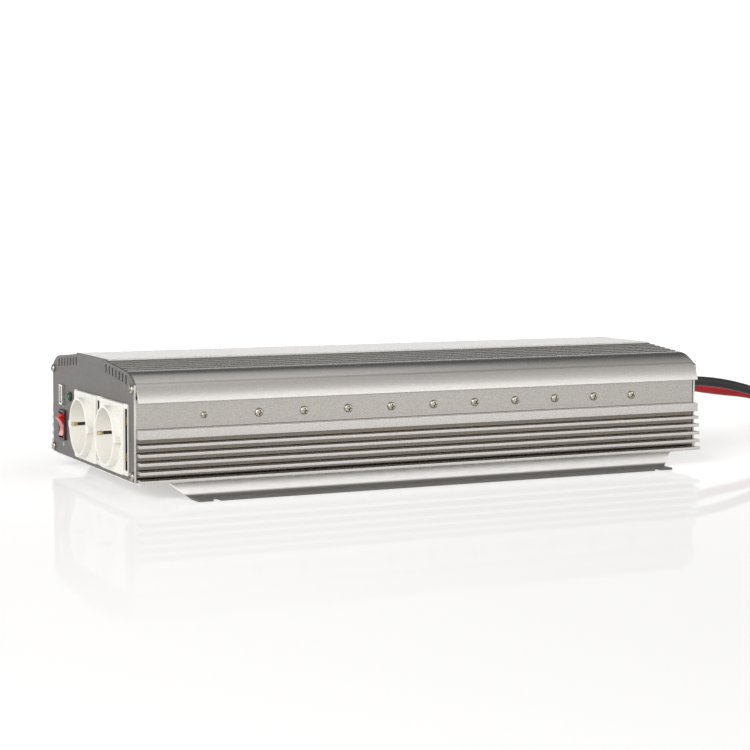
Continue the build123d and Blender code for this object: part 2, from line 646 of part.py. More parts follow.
def usb_shell():
    rim, rear = FRONT_FACE - USB_PROUD, FRONT_FACE + USB_DEEP
    shell = box((rim, rear), span(USB_Y, USB_W), span(USB_Z, USB_H))
    lip = box((rim, FRONT_FACE), span(USB_Y, USB_W + 2 * USB_LIP), span(USB_Z, USB_H + 2 * USB_LIP))
    shell += fillet(lip.edges().filter_by(Axis.X), 1.0)
    inside = span(USB_Y, USB_W - 2 * USB_SHEET), span(USB_Z, USB_H - 2 * USB_SHEET)
    return shell - box((rim - 1, rear - USB_SHEET), *inside)


def usb_tongue():
    depth = (FRONT_FACE - USB_PROUD + 1.0, FRONT_FACE + USB_DEEP - USB_SHEET)
    return box(depth, span(USB_Y + USB_W / 2 - 1.9, 1.8), span(USB_Z, USB_H - 2.4))


def usb_board():
    """Small board behind the front panel that carries the USB outlet and the lamp."""
    x = FRONT_FACE + USB_DEEP
    return box((x, x + BOARD_T), (LAMP_Y - 6, USB_Y + 8), (USB_Z - 12, USB_Z + 9))


def lamp():
    dome_x = FRONT_FACE - 1.2
    body = rod_x((dome_x, FRONT_FACE + USB_DEEP), LAMP_Y, LAMP_Z, LAMP_R)
    return body + Pos(dome_x, LAMP_Y, LAMP_Z) * Sphere(LAMP_R)


def lamp_ring():
    ring = rod_x((FRONT_FACE - 1.4, FRONT_FACE), LAMP_Y, LAMP_Z, LAMP_RING_R)
    return ring - rod_x((FRONT_FACE - 2, FRONT_FACE + 1), LAMP_Y, LAMP_Z, LAMP_R + FIT_GAP)


# ---- fans -----------------------------------------------------------------------------------------
def fan_hole_places(side):
    half = FAN_HOLE_HALF
    return [(side * FAN_Y + dy * half, FAN_Z + dz * half) for dy in (-1, 1) for dz in (-1, 1)]


def fan_frame(side):
    y, half = side * FAN_Y, FAN_SIZE / 2
    frame = box((FAN_X, CASE_REAR), (y - half, y + half), (FAN_Z - half, FAN_Z + half))
    frame = fillet(frame.edges().filter_by(Axis.X), 3.5)
    frame -= rod_x((FAN_X - 1, CASE_REAR + 1), y, FAN_Z, FAN_BORE_R)
    for hole_y, hole_z in fan_hole_places(side):
        frame -= rod_x((FAN_X - 1, CASE_REAR + 1), hole_y, hole_z, SCREW_R + HOLE_GAP)
    frame += rod_x((FAN_X, FAN_X + 2), y, FAN_Z, FAN_HUB_R)
    for i in range(4):
        arm = Pos(FAN_X + 1, 0, (FAN_HUB_R + FAN_BORE_R) / 2) * Box(2, 3, FAN_BORE_R - FAN_HUB_R + 1.5)
        frame += Pos(0, y, FAN_Z) * Rot(45 + 90 * i, 0, 0) * arm
    frame += rod_x((FAN_X + 2, FAN_X + 9), y, FAN_Z, 3.2)
    frame -= rod_x((FAN_X + 1, FAN_X + 10), y, FAN_Z, FAN_SHAFT_R + SHAFT_GAP)
    return frame


def fan_rotor(side):
    """Hub, shaft and pitched blades, turning in the frame's bearing tube."""
    front, rear = FAN_X + 3.0, CASE_REAR - 1.0
    hub = rod_x((front, rear), 0, 0, FAN_HUB_R) - rod_x((front - 1, rear - 1.5), 0, 0, FAN_HUB_R - 1.5)
    hub += rod_x((FAN_X + 2.0, rear - 0.5), 0, 0, FAN_SHAFT_R)
    middle = (front + rear) / 2
    for i in range(FAN_BLADES):
        reach = FAN_TIP_R - FAN_HUB_R + 1.0
        blade = Pos(0, 0, FAN_HUB_R - 1.0 + reach / 2) * Rot(0, 0, 38) * Box(1.3, 12.0, reach)
        blade = blade & rod_x((-4.6, 4.6), 0, 0, FAN_TIP_R)
        hub += Pos(middle, 0, 0) * Rot(360 / FAN_BLADES * i, 0, 0) * blade
    return Pos(0, side * FAN_Y, FAN_Z) * hub


def fan_guard(side):
    """Wire guard on the outside of the rear panel: rings, crossed arms and four eyes."""
    low, high = REAR_FACE, REAR_FACE + GUARD_T
    reach = FAN_HOLE_HALF * math.sqrt(2)
    eye_r = SCREW_R + HOLE_GAP + GUARD_T
    guard = rod_x((low, high), 0, 0, GUARD_FIRST_R)
    guard -= rod_x((low - 1, high + 1), 0, 0, GUARD_FIRST_R - GUARD_T)
    pitch = (FAN_BORE_R - GUARD_EDGE - GUARD_FIRST_R) / (GUARD_RING_COUNT - 1)
    for i in range(1, GUARD_RING_COUNT):
        radius = GUARD_FIRST_R + i * pitch
        guard += rod_x((low, high), 0, 0, radius) - rod_x((low - 1, high + 1), 0, 0, radius - GUARD_T)
    for i in range(4):
        turn = Rot(45 + 90 * i, 0, 0)
        guard += turn * box((low, high), span(0, GUARD_T), (GUARD_FIRST_R - 1, reach - SCREW_R - 0.6))
        guard += turn * rod_x((low, high), 0, reach, eye_r)
    for i in range(4):
        guard -= Rot(45 + 90 * i, 0, 0) * rod_x((low - 1, high + 1), 0, reach, SCREW_R + HOLE_GAP)
    return Pos(0, side * FAN_Y, FAN_Z) * guard


def fan_screws():
    screw = pan_screw(SCREW_HEAD_R, SCREW_HEAD_T, SCREW_R, FAN_T + PANEL_T + GUARD_T + 1.0)
    head_x = REAR_FACE + GUARD_T
    return group([Pos(head_x, y, z) * Rot(0, 90, 0) * screw for s in (-1, 1) for y, z in fan_hole_places(s)])


# ---- rear fittings --------------------------------------------------------------------------------
def earth_stud():
    """Stud through the rear panel: its collar stands outside, with the free end beyond it."""
    stud = rod_x((CASE_REAR - STUD_COLLAR - 2, REAR_FACE + STUD_PROUD), 0, STUD_Z, STUD_R)
    return stud + Pos(REAR_FACE, 0, STUD_Z) * Rot(0, 90, 0) * hex_prism(STUD_FLATS, STUD_COLLAR)


def earth_nut():
    nut = hex_prism(STUD_FLATS, STUD_COLLAR) - Cylinder(STUD_R + PIVOT_GAP, 3 * STUD_COLLAR)
    return Pos(CASE_REAR - STUD_COLLAR, 0, STUD_Z) * Rot(0, 90, 0) * nut


def strain_relief(side):
    """Rubber boot: a flange and neck in the rear panel, and a taper that the lead leaves by."""
    y, z = side * LEAD_Y, LEAD_Z
    neck = rod_x((CASE_REAR, REAR_FACE), y, z, RELIEF_NECK_R)
    inner = rod_x((CASE_REAR - 2.5, CASE_REAR), y, z, RELIEF_ROOT_R)
    start = REAR_FACE + RELIEF_FLANGE
    flange = rod_x((REAR_FACE, start), y, z, RELIEF_ROOT_R)
    long = RELIEF_LONG - RELIEF_FLANGE
    taper = Cone(RELIEF_ROOT_R - 1.2, LEAD_D / 2 + RELIEF_TIP_WALL, long)
    return neck + inner + flange + Pos(start + long / 2, y, z) * Rot(0, 90, 0) * taper


def inner_lead(side):
    """Lead from the boot down to its lug on the board."""
    y = side * LEAD_Y
    start = CASE_REAR - 2.5
    points = [
        (start, y, LEAD_Z),
        (start - 14, y, LEAD_Z),
        (start - 32, y * 1.2, LEAD_Z - 20),
        (start - 44, y * 1.3, BOARD_TOP + 7),
    ]
    path = FilletPolyline(points, radius=[bend_radius(*points[i : i + 3]) for i in range(2)])
    tube = sweep(Plane(path @ 0, z_dir=path % 0) * Circle(LEAD_D / 2), path=path)
    x, lug_y = points[-1][0], points[-1][1]
    foot = box((x - 6, x + 6), (lug_y - 6, lug_y + 6), (BOARD_TOP, BOARD_TOP + 5))
    return tube + foot + rod_z(x, lug_y, (BOARD_TOP + 4, BOARD_TOP + 8), LEAD_D / 2 + 0.6)


# ---- battery leads --------------------------------------------------------------------------------
LEAD_EXIT = REAR_FACE + RELIEF_LONG
LIE_Z = LEAD_D / 2 + FLOOR_GAP
BLACK_ROUTE = [
    (LEAD_EXIT, -LEAD_Y, LEAD_Z),
    (284.0, -LEAD_Y, LEAD_Z),
    (316.0, -13.6, 54.2),
    (349.0, -13.9, 46.6),
    (381.0, -13.8, 35.0),
    (410.0, -13.4, 21.2),
    (436.0, -13.2, 9.6),
    (459.0, -13.1, LIE_Z),
    (COIL_X, -13.0, LIE_Z),
]
RED_ROUTE = [
    (LEAD_EXIT, LEAD_Y, LEAD_Z),
    (275.0, LEAD_Y, LEAD_Z),
    (302.0, 13.8, 49.4),
    (335.0, 14.5, 44.2),
    (369.0, 14.4, 40.4),
    (399.0, 13.9, 32.0),
    (425.0, 13.5, 19.0),
    (445.0, 13.2, 8.6),
    (462.0, 13.1, LIE_Z),
    (COIL_X, 13.0, LIE_Z),
]


def bend_radius(before, corner, after):
    """Largest arc that the two runs allow, with a margin."""
    one, two = Vector(*corner) - Vector(*before), Vector(*after) - Vector(*corner)
    half_turn = math.radians(one.get_angle(two)) / 2
    return 0.45 * min(one.length, two.length) / math.tan(half_turn)


def lead_tube(route):
    radii = [bend_radius(*route[i : i + 3]) for i in range(len(route) - 2)]
    path = FilletPolyline(route, radius=radii)
    tube = sweep(Plane(path @ 0, z_dir=path % 0) * Circle(LEAD_D / 2), path=path)
    share = tube.volume / (math.pi * (LEAD_D / 2) ** 2 * path.length)
    print("radii", [round(r) for r in radii], "length", round(path.length, 1), "volume", round(share, 4))
    return tube, path.length


def coil_middle(side):
    return (COIL_X, side * (LEAD_Y + COIL_R))


def coil_turn(tube_length):
    """Degrees that the lead winds after it reaches the coil."""
    return math.degrees((LEAD_LENGTH - tube_length) / COIL_R)


def lead_coil(side, tube_length):
    """Ring of the first turn, with the part turn that lies on it; side 1 winds to the left."""
    x, y = coil_middle(side)
    half = LEAD_D / 2 + FLOOR_GAP
    first_top = 2 * half
    ring = rod_z(x, y, (0, first_top), COIL_R + half) - rod_z(x, y, (-1, first_top + 1), COIL_R - half)
    extra = coil_turn(tube_length) - 360
    turns = Circle(COIL_R + half) - Circle(COIL_R - half)
    far = 3 * COIL_R
    steps = [math.radians(-90 + extra * i / 4) for i in range(5)]
    corners = [(far * math.cos(a), far * math.sin(a)) for a in steps]
    wedge = make_face(Polyline([(0, 0), *corners], close=True))
    arc = extrude(turns & wedge, 2 * half)
    if side < 0:
        arc = mirror(arc, about=Plane.XZ)
    return ring + Pos(x, y, first_top) * arc


def lug_place(side, tube_length):
    """Where the lead ends on its coil, pointing the way that it ends."""
    x, y = coil_middle(side)
    angle = -90 + coil_turn(tube_length)
    z = LIE_Z + LEAD_D + 2 * FLOOR_GAP
    at = Pos(x + COIL_R * math.cos(math.radians(angle)), y + side * COIL_R * math.sin(math.radians(angle)), z)
    return at * Rot(0, 0, side * (angle + 90))


def lead_lug(side, tube_length):
    """Ring lug: a barrel on the lead's end and a flat tongue with its eye, along +X."""
    barrel = rod_x((0, BARREL_LONG), 0, 0, LEAD_D / 2)
    eye_x = LUG_LONG - LUG_W / 2
    low = -LUG_T / 2
    tongue = box((BARREL_LONG - 4, eye_x), (-LUG_W / 2, LUG_W / 2), (low, low + LUG_T))
    neck = loft([
        Pos(BARREL_LONG - 4, 0, 0) * Rot(0, 90, 0) * Rectangle(LUG_T, LEAD_D),
        Pos(BARREL_LONG + 4, 0, 0) * Rot(0, 90, 0) * Rectangle(LUG_T, LUG_W),
    ])
    tongue -= box((0, BARREL_LONG + 4), (-LUG_W, LUG_W), (-5, 5))
    lug = barrel + neck + tongue + rod_z(eye_x, 0, (low, low + LUG_T), LUG_W / 2)
    lug -= rod_z(eye_x, 0, (-5, 5), LUG_HOLE_R)
    return lug_place(side, tube_length) * lug


# ---- electronics ----------------------------------------------------------------------------------
def standoff_places():
    pitch = (BOARD_END - BOARD_START - 2 * STANDOFF_EDGE) / 3
    xs = [BOARD_START + STANDOFF_EDGE + i * pitch for i in range(4)]
    return [(x, side * (BOARD_HALF - 2 * STANDOFF_EDGE)) for x in xs for side in (-1, 1)]


def main_board():
    board = box((BOARD_START, BOARD_END), (-BOARD_HALF, BOARD_HALF), (BOARD_Z, BOARD_TOP))
    for x, y in standoff_places():
        board -= rod_z(x, y, (BOARD_Z - 1, BOARD_TOP + 1), SCREW_R + HOLE_GAP)
    return board


def standoffs():
    pillar = hex_prism(2 * STANDOFF_R, STANDOFF_H) - Pos(0, 0, STANDOFF_H) * Cylinder(SCREW_R + HOLE_GAP, 12)
    return group([Pos(x, y, FOOT_DROP) * pillar for x, y in standoff_places()])


def board_screws():
    screw = pan_screw(SCREW_HEAD_R, SCREW_HEAD_T, SCREW_R, BOARD_T + 4)
    return group([Pos(x, y, BOARD_TOP) * screw for x, y in standoff_places()])


def transformer_xs():
    middle = (BOARD_START + BOARD_END) / 2 - TRANSFORMER_BACK
    return [middle + i * TRANSFORMER_PITCH for i in (-1, 0, 1)]


def transformer_cores():
    cores = []
    half, low = TRANSFORMER_W / 2, BOARD_TOP + TRANSFORMER_LIFT
    high = low + TRANSFORMER_H
    for x in transformer_xs():
        core = box((x - CORE_T / 2, x + CORE_T / 2), (-half, half), (low, high))
        for side in (-1, 1):
            window = (side * LIMB_HALF, side * (half - CORE_SIDE))
            core -= box((x - CORE_T, x + CORE_T), window, (low + CORE_SIDE, high - CORE_SIDE))
        cores.append(core)
    return group(cores)


def transformer_windings():
    """Wound bobbins round the middle limbs of the cores."""
    coils = []
    low, gap = BOARD_TOP + TRANSFORMER_LIFT, 0.5
    half_x, half_y = TRANSFORMER_LONG / 2 - 2, TRANSFORMER_W / 2 - CORE_SIDE - gap
    limb_x, limb_y = CORE_T / 2 + gap, LIMB_HALF + gap
    for x in transformer_xs():
        span = (low + CORE_SIDE + gap, low + TRANSFORMER_H - CORE_SIDE - gap)
        outer = box((x - half_x, x + half_x), (-half_y, half_y), span)
        coil = fillet(outer.edges().filter_by(Axis.Z), 5)
        coil -= box((x - limb_x, x + limb_x), (-limb_y, limb_y), (low, low + TRANSFORMER_H))
        for sx, sy in [(sx, sy) for sx in (-1, 1) for sy in (-1, 1)]:
            coil += rod_z(x + sx * (half_x - 4), sy * (half_y - 6), (BOARD_TOP, span[0] + 0.5), 1.0)
        coils.append(coil)
    return group(coils)


def capacitor(radius, tall):
    can = Pos(0, 0, tall / 2) * Cylinder(radius, tall)
    can = fillet(can.edges(), 0.8)
    groove = Pos(0, 0, 3.0) * (Cylinder(radius + 1, 1.2) - Cylinder(radius - 0.6, 1.2))
    return can - groove


def input_capacitors():
    can = capacitor(INPUT_CAN_R, INPUT_CAN_H)
    xs = [BOARD_END - INPUT_CANS_END - i * INPUT_CAN_PITCH for i in range(3)]
    ys = [side * (INPUT_CAN_Y + j * (INPUT_CAN_PITCH - 1)) for j in (0, 1) for side in (-1, 1)]
    return group([Pos(x, y, BOARD_TOP) * can for x in xs for y in ys])


def bulk_capacitors():
    can = capacitor(BULK_CAN_R, BULK_CAN_H)
    x = BOARD_START + BULK_CAN_START
    return group([Pos(x, side * BULK_CAN_Y, BOARD_TOP) * can for side in (-1, 1)])


def output_choke():
    """Wound ring standing on edge in its cradle."""
    x, reach = BOARD_START + BULK_CAN_START, CHOKE_R + CHOKE_WIRE_R
    ring = Pos(x, CHOKE_Y, BOARD_TOP + reach + 0.5) * Rot(0, 90, 0) * Torus(CHOKE_R, CHOKE_WIRE_R)
    cradle = box((x - 7, x + 7), (CHOKE_Y - 8, CHOKE_Y + 8), (BOARD_TOP, BOARD_TOP + 4))
    return ring + cradle


def fuses():
    """Blade fuses in a row across the battery input."""
    made = []
    end = BOARD_END - FUSE_END
    start = end - FUSE_LONG
    for i in range(FUSE_COUNT):
        y = (i - (FUSE_COUNT - 1) / 2) * FUSE_PITCH
        fuse = box((start, end), (y - 2.6, y + 2.6), (BOARD_TOP + 5, BOARD_TOP + 17))
        for x in (start + 1, end - 6):
            fuse += box((x, x + 5), (y - 0.4, y + 0.4), (BOARD_TOP, BOARD_TOP + 6))
        made.append(fuse)
    return group(made)


def control_board():
    x = (BOARD_START + CONTROL_START, BOARD_START + CONTROL_START + CONTROL_LONG)
    return box(x, (CONTROL_Y, CONTROL_Y + BOARD_T), (BOARD_TOP, BOARD_TOP + CONTROL_H))


def buzzer():
    x, top = BOARD_START + BUZZER_START, BOARD_TOP + BUZZER_H
    return rod_z(x, 0, (BOARD_TOP, top), BUZZER_R) - rod_z(x, 0, (top - 1, top + 1), 1)


def chip_places():
    offsets = (-CHIP_W / 2 - 2.0, CHIP_W / 2 + 2.0)
    return [x + CLAMP_SCREW_PITCH / 2 + dx for x in CLAMP_SCREW_XS[:-1] for dx in offsets]


def transistors(side):
    """Upright power transistors, their tabs against the side wall and their legs in the board."""
    low, body_low = BOARD_TOP, SIDE_SCREW_Z - CHIP_H / 2
    leg_y, foot_y, bend_z = CHIP_Y - 2.4, BOARD_HALF - 2.4, body_low - 6
    made = []
    for x in chip_places():
        body = box(span(x, CHIP_W), (CHIP_Y - CHIP_T, CHIP_Y), (body_low, body_low + CHIP_H))
        for leg_x in (x - LEG_PITCH, x, x + LEG_PITCH):
            leg = span(leg_x, LEG_W)
            body += box(leg, (leg_y - LEG_T, leg_y), (bend_z, body_low + 0.5))
            body += box(leg, (foot_y - LEG_T, leg_y), (bend_z - LEG_T, bend_z))
            body += box(leg, (foot_y - LEG_T, foot_y), (low, bend_z))
        made.append(body)
    made = group(made)
    return made if side > 0 else group([mirror(made, about=Plane.XZ)])


def clamp_span():
    return (CLAMP_SCREW_XS[0] - 7, CLAMP_SCREW_XS[-1] + 7)


def clamp_bars():
    """Steel bars that the side screws pull against the transistors."""
    bars = []
    for side in (-1, 1):
        y = (side * (BAR_Y - BAR_T / 2), side * (BAR_Y + BAR_T / 2))
        bar = box(clamp_span(), y, (SIDE_SCREW_Z - BAR_H / 2, SIDE_SCREW_Z + BAR_H / 2))
        for x in CLAMP_SCREW_XS:
            bar -= rod_y(x, (y[0] - side, y[1] + side), SIDE_SCREW_Z, SCREW_R + 0.02)
        bars.append(bar)
    return group(bars)


def insulating_strips():
    strips = []
    for side in (-1, 1):
        y = (side * CHIP_Y, side * INNER_HALF)
        strip = box(clamp_span(), y, (SIDE_SCREW_Z - 11, SIDE_SCREW_Z + 11))
        for x in CLAMP_SCREW_XS:
            strip -= rod_y(x, (y[0] - side, y[1] + side), SIDE_SCREW_Z, SCREW_R + HOLE_GAP)
        strips.append(strip)
    return group(strips)


# ---- build ----------------------------------------------------------------------------------------
def all_nodes():
    clamp_long = WALL_HALF - (BAR_Y - BAR_T / 2) + 1.0
    small_at = [CASE_FRONT + SIDE_SCREW_AT]
    nodes = {
        "case_extrusion": case_extrusion(),
        "base_plate": base_plate(),
        "base_screws": base_screws(),
        "front_panel": front_panel(),
        "rear_panel": rear_panel(),
        "front_panel_screws": panel_screws(FRONT_FACE, -1),
        "rear_panel_screws": panel_screws(REAR_FACE, 1),
        "clamp_screws": side_screws(CLAMP_SCREW_XS, SCREW_HEAD_R, SCREW_R, clamp_long),
        "small_side_screws": side_screws(small_at, SMALL_HEAD_R, SMALL_SCREW_R, WALL + 3),
        "side_nuts": side_nuts(),
        "clamp_bars": clamp_bars(),
        "insulating_strips": insulating_strips(),
        "outlet_contacts": outlet_contacts(),
        "side_terminals": side_terminals(),
        "switch_body": switch_body(),
        "rocker": rocker(),
        "usb_shell": usb_shell(),
        "usb_tongue": usb_tongue(),
        "usb_board": usb_board(),
        "lamp": lamp(),
        "lamp_ring": lamp_ring(),
        "fan_screws": fan_screws(),
        "earth_stud": earth_stud(),
        "earth_nut": earth_nut(),
        "main_board": main_board(),
        "board_standoffs": standoffs(),
        "board_screws": board_screws(),
        "transformer_cores": transformer_cores(),
        "transformer_windings": transformer_windings(),
        "input_capacitors": input_capacitors(),
        "bulk_capacitors": bulk_capacitors(),
        "output_choke": output_choke(),
        "fuses": fuses(),
        "control_board": control_board(),
        "buzzer": buzzer(),
    }
    for name, side in (("near", -1), ("far", 1)):
        nodes[f"transistors_{name}"] = transistors(side)
        nodes[f"fan_frame_{name}"] = fan_frame(side)
        nodes[f"fan_rotor_{name}"] = fan_rotor(side)
        nodes[f"fan_guard_{name}"] = fan_guard(side)
        y = OUTLET_YS[0] if side < 0 else OUTLET_YS[1]
        nodes[f"outlet_housing_{name}"] = outlet_housing(y)
        nodes[f"outlet_back_{name}"] = outlet_back(y)
        nodes[f"earth_clips_{name}"] = earth_clips(y)
    for name, side, route in (("black", -1, BLACK_ROUTE), ("red", 1, RED_ROUTE)):
        tube, length = lead_tube(route)
        nodes[f"lead_{name}"] = tube
        nodes[f"lead_coil_{name}"] = lead_coil(side, length)
        nodes[f"lead_lug_{name}"] = lead_lug(side, length)
        nodes[f"strain_relief_{name}"] = strain_relief(side)
        nodes[f"inner_lead_{name}"] = inner_lead(side)
    return nodes


os.makedirs("parts", exist_ok=True)
for node_name, shape in all_nodes().items():
    export_step(shape, f"parts/{node_name}.step")
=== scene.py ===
import json
from math import asin, atan2, copysign, cos, degrees, pi, radians, sin, sqrt, tan

import bmesh
import bpy
from mathutils import Matrix, Vector

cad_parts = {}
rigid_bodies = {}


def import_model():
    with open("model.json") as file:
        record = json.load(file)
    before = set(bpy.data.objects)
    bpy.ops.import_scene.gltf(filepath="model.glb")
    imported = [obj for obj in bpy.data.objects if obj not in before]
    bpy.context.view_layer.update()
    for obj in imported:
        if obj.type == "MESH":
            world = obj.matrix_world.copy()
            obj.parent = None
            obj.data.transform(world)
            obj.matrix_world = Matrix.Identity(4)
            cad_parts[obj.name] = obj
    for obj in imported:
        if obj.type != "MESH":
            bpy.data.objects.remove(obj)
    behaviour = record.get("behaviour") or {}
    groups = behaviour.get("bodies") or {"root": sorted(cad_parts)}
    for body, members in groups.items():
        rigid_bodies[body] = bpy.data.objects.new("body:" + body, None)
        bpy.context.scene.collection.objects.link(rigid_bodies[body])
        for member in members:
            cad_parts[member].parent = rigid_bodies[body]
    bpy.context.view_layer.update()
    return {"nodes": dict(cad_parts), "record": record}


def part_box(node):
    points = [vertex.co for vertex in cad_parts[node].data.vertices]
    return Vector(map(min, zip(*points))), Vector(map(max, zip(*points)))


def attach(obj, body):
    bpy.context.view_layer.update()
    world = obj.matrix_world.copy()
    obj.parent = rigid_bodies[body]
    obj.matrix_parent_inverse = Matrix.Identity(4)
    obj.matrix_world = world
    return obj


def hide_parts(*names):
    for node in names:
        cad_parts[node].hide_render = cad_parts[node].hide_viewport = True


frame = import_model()

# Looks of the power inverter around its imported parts. Sizes are millimetres in the same frame as the
# parts (+X to the rear, +Z up, floor at z = 0), and every mesh is turned into metres as it is made.
# Shader trees work in metres.
MM = 0.001
WELD, CAD_WELD, SLIVER = 1e-7, 1e-6, 1e-7  # m: points this close are one, edges this short are removed
FULL = 2 * pi
SIDES, ENDS = (-1, 1), ("near", "far")
ON_AXIS = 1e-6  # a turned profile's radius below this is on the axis
STRAIGHT = radians(88)  # half angle from which a corner is left as it is
FLAT = radians(0.2)  # faces this close in angle are one face
CAD_FLAT = radians(1.0)


def corners(name):
    """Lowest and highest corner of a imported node."""
    low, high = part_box(name)
    return Vector(low) / MM, Vector(high) / MM


def middle(name):
    low, high = corners(name)
    return (low + high) / 2


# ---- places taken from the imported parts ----
case_low, case_high = corners("case_extrusion")
CASE_FRONT, CASE_REAR = case_low.x, case_high.x
FLOOR_GAP, TOP = case_low.z, case_high.z
FRONT_FACE, REAR_FACE = corners("front_panel")[0].x, corners("rear_panel")[1].x
PANEL_HALF = corners("front_panel")[1].y

# ---- section of the case ----
WALL_HALF, INNER_HALF, SKIN = 96.5, 93.5, 2.5
CROWN_HALF, CROWN_STEP = 35.0, 0.8
SHOULDER_R = 26.0
FLANK_HALF, FLANK_DROP = 78.0, 5.0
SHOULDER_Z = TOP - FLANK_DROP - SHOULDER_R
LIP_Z = SHOULDER_Z + 5.25
BAND_HALF, BAND_Z, BAND_TALL = 104.0, FLOOR_GAP + 30.0, 6.65
FIN_COUNT, FIN_T, FIN_PITCH = 5, 2.4, 6.0
FIN_TIP_HALF, FIN_TIP_GROWTH = 105.3, 0.68
FLANGE_W, FLANGE_T = 14.0, 3.0
RIB_COUNT, GROOVE_W, GROOVE_DEEP = 6, 2.4, 1.4
PORT_Y, PORT_ZS, PORT_R, PORT_HOLE_R = 94.0, (TOP - 16.0, FLOOR_GAP + 4.2), 3.6, 1.5

# ---- base plate ----
SHEET, WEB_TOP_HALF, WEB_FOOT_HALF, FOOT_HALF = 1.5, 99.0, 110.0, corners("base_plate")[1].y
WEB_INSET, FOOT_INSET = 23.5, 36.0
NOTCH_INSET, NOTCH_W, NOTCH_DEEP, NOTCH_R = 13.5, 5.5, 8.0, 2.7
ROOT_HALF = 93.0  # where a wing leaves the flat of the base, under the case
BASE_TOP = FLOOR_GAP - 0.02

# ---- front ----
RECESS_R, RING_R, RECESS_DEEP, BLOCK_PROUD = 19.5, 21.5, 17.5, 3.0
BLOCK_W, BLOCK_H, PLATE_W, PLATE_PROUD = 51.0, 50.0, 61.4, 0.8
PIN_Y, PIN_R = 9.5, 2.7
VENT_COUNT, VENT_FIRST, VENT_PITCH, VENT_W, VENT_LOW, VENT_HIGH = 7, 35.9, 7.4, 2.8, 8.2, 2.4
MARK_THIN, MARK_GAP = 0.06, 3.4

# ---- rear ----
FAN_BORE_R, FAN_HOLE_HALF, FAN_HUB_R, FAN_TIP_R, FAN_BLADES = 28.8, 25.0, 13.0, 27.6, 7
GUARD_WIRE_R, GUARD_RINGS, EYE_R = 0.85, 4, 2.55
RELIEF_NECK_R, RELIEF_ROOT_R, RELIEF_TIP_R, RELIEF_SLOTS = 7.0, 7.8, 5.4, 7
STUD_R, STUD_FREE, STUD_FLATS = 2.5, 8.0, 8.0

# ---- battery leads ----
LEAD_D, LEAD_LENGTH, LEAD_Y = 8.0, 700.0, 13.0
COIL_R, COIL_X, COIL_STEPS = 44.0, 478.0, 28
LIE_Z = 4.2  # height of a lead's middle where it lies on the floor
UPPER_Z = LIE_Z + LEAD_D + 0.4
CLIMB_START, CLIMB_END = 300.0, 352.0  # degrees of turn over which a lead climbs onto its first turn
LEAD_EXIT = corners("strain_relief_black")[1].x
LEAD_Z = middle("strain_relief_black").z


# ---- mesh helpers ----
def linked(name, data):
    """Object that holds the data, in the scene."""
    made = bpy.data.objects.new(name, data)
    bpy.context.collection.objects.link(made)
    return made


def opened(*meshes):
    bm = bmesh.new()
    for mesh in meshes:
        bm.from_mesh(mesh)
    return bm


def closed(bm):
    mesh = bpy.data.meshes.new("work")
    bm.to_mesh(mesh)
    bm.free()
    return mesh


def mesh_of(bm):
    """Mesh with doubled points welded and faces turned outward."""
    bmesh.ops.remove_doubles(bm, verts=bm.verts, dist=WELD)
    bmesh.ops.recalc_face_normals(bm, faces=bm.faces)
    return closed(bm)


def merged(meshes):
    """One mesh that holds several closed ones."""
    return closed(opened(*meshes))


def from_points(points, edges=(), faces=()):
    mesh = bpy.data.meshes.new("work")
    mesh.from_pydata([Vector(p) * MM for p in points], edges, faces)
    return mesh


def taken_from(holder):
    """Plain mesh of a holder object after its modifiers; the holder goes."""
    graph = bpy.context.evaluated_depsgraph_get()
    mesh = bpy.data.meshes.new_from_object(
        holder.evaluated_get(graph), preserve_all_data_layers=True, depsgraph=graph
    )
    bpy.data.objects.remove(holder)
    return mesh


def applied(mesh, kind, **settings):
    """The mesh after one modifier."""
    holder = linked("holder", mesh)
    modifier = holder.modifiers.new(kind.lower(), kind)
    for key, value in settings.items():
        setattr(modifier, key, value)
    return taken_from(holder)


def creased(mesh, angle):
    mesh.shade_smooth()
    mesh.set_sharp_from_angle(angle=radians(angle))
    return mesh


def smooth(mesh, angle=38.0):
    """Smooth shading with sharp creases, and flat faces kept flat beside their rounded edges."""
    return applied(creased(mesh, angle), "WEIGHTED_NORMAL", keep_sharp=True, weight=100)


def without_slivers(mesh):
    """The mesh without edges of no length and faces of no area."""
    bm = opened(mesh)
    bmesh.ops.dissolve_degenerate(bm, dist=SLIVER, edges=bm.edges)
    return closed(bm)


def bevelled(mesh, width, segments=2, angle=30.0):
    rounder = applied(mesh, "BEVEL", width=width * MM, segments=segments, limit_method="ANGLE",
                      angle_limit=radians(angle), use_clamp_overlap=True)
    return smooth(without_slivers(rounder))


def thickened(mesh, thickness, **settings):
    return applied(mesh, "SOLIDIFY", thickness=thickness * MM, **settings)


def cut(mesh, *cutters):
    """The mesh with each cutter's shape taken out of it."""
    for cutter in cutters:
        tool = linked("cutter", cutter)
        mesh = applied(mesh, "BOOLEAN", object=tool, operation="DIFFERENCE", solver="EXACT")
        bpy.data.objects.remove(tool)
    return mesh


def moved(mesh, x=0.0, y=0.0, z=0.0):
    mesh.transform(Matrix.Translation(Vector((x, y, z)) * MM))
    return mesh


def turned(mesh, turn_by, axis="X"):
    mesh.transform(Matrix.Rotation(radians(turn_by), 4, axis))
    return mesh


def around(steps):
    """Angles of so many even steps of one full turn."""
    return [FULL * i / steps for i in range(steps)]


def block(x, y, z, edge=0.0, segments=2):
    """Box between two values on each axis, its edges rounded."""
    bm = bmesh.new()
    bmesh.ops.create_cube(bm, size=1.0)
    spans = [sorted(span) for span in (x, y, z)]
    for vert in bm.verts:
        vert.co = Vector([(a + b) / 2 + c * (b - a) for (a, b), c in zip(spans, vert.co)]) * MM
    mesh = mesh_of(bm)
    return bevelled(mesh, edge, segments) if edge else mesh


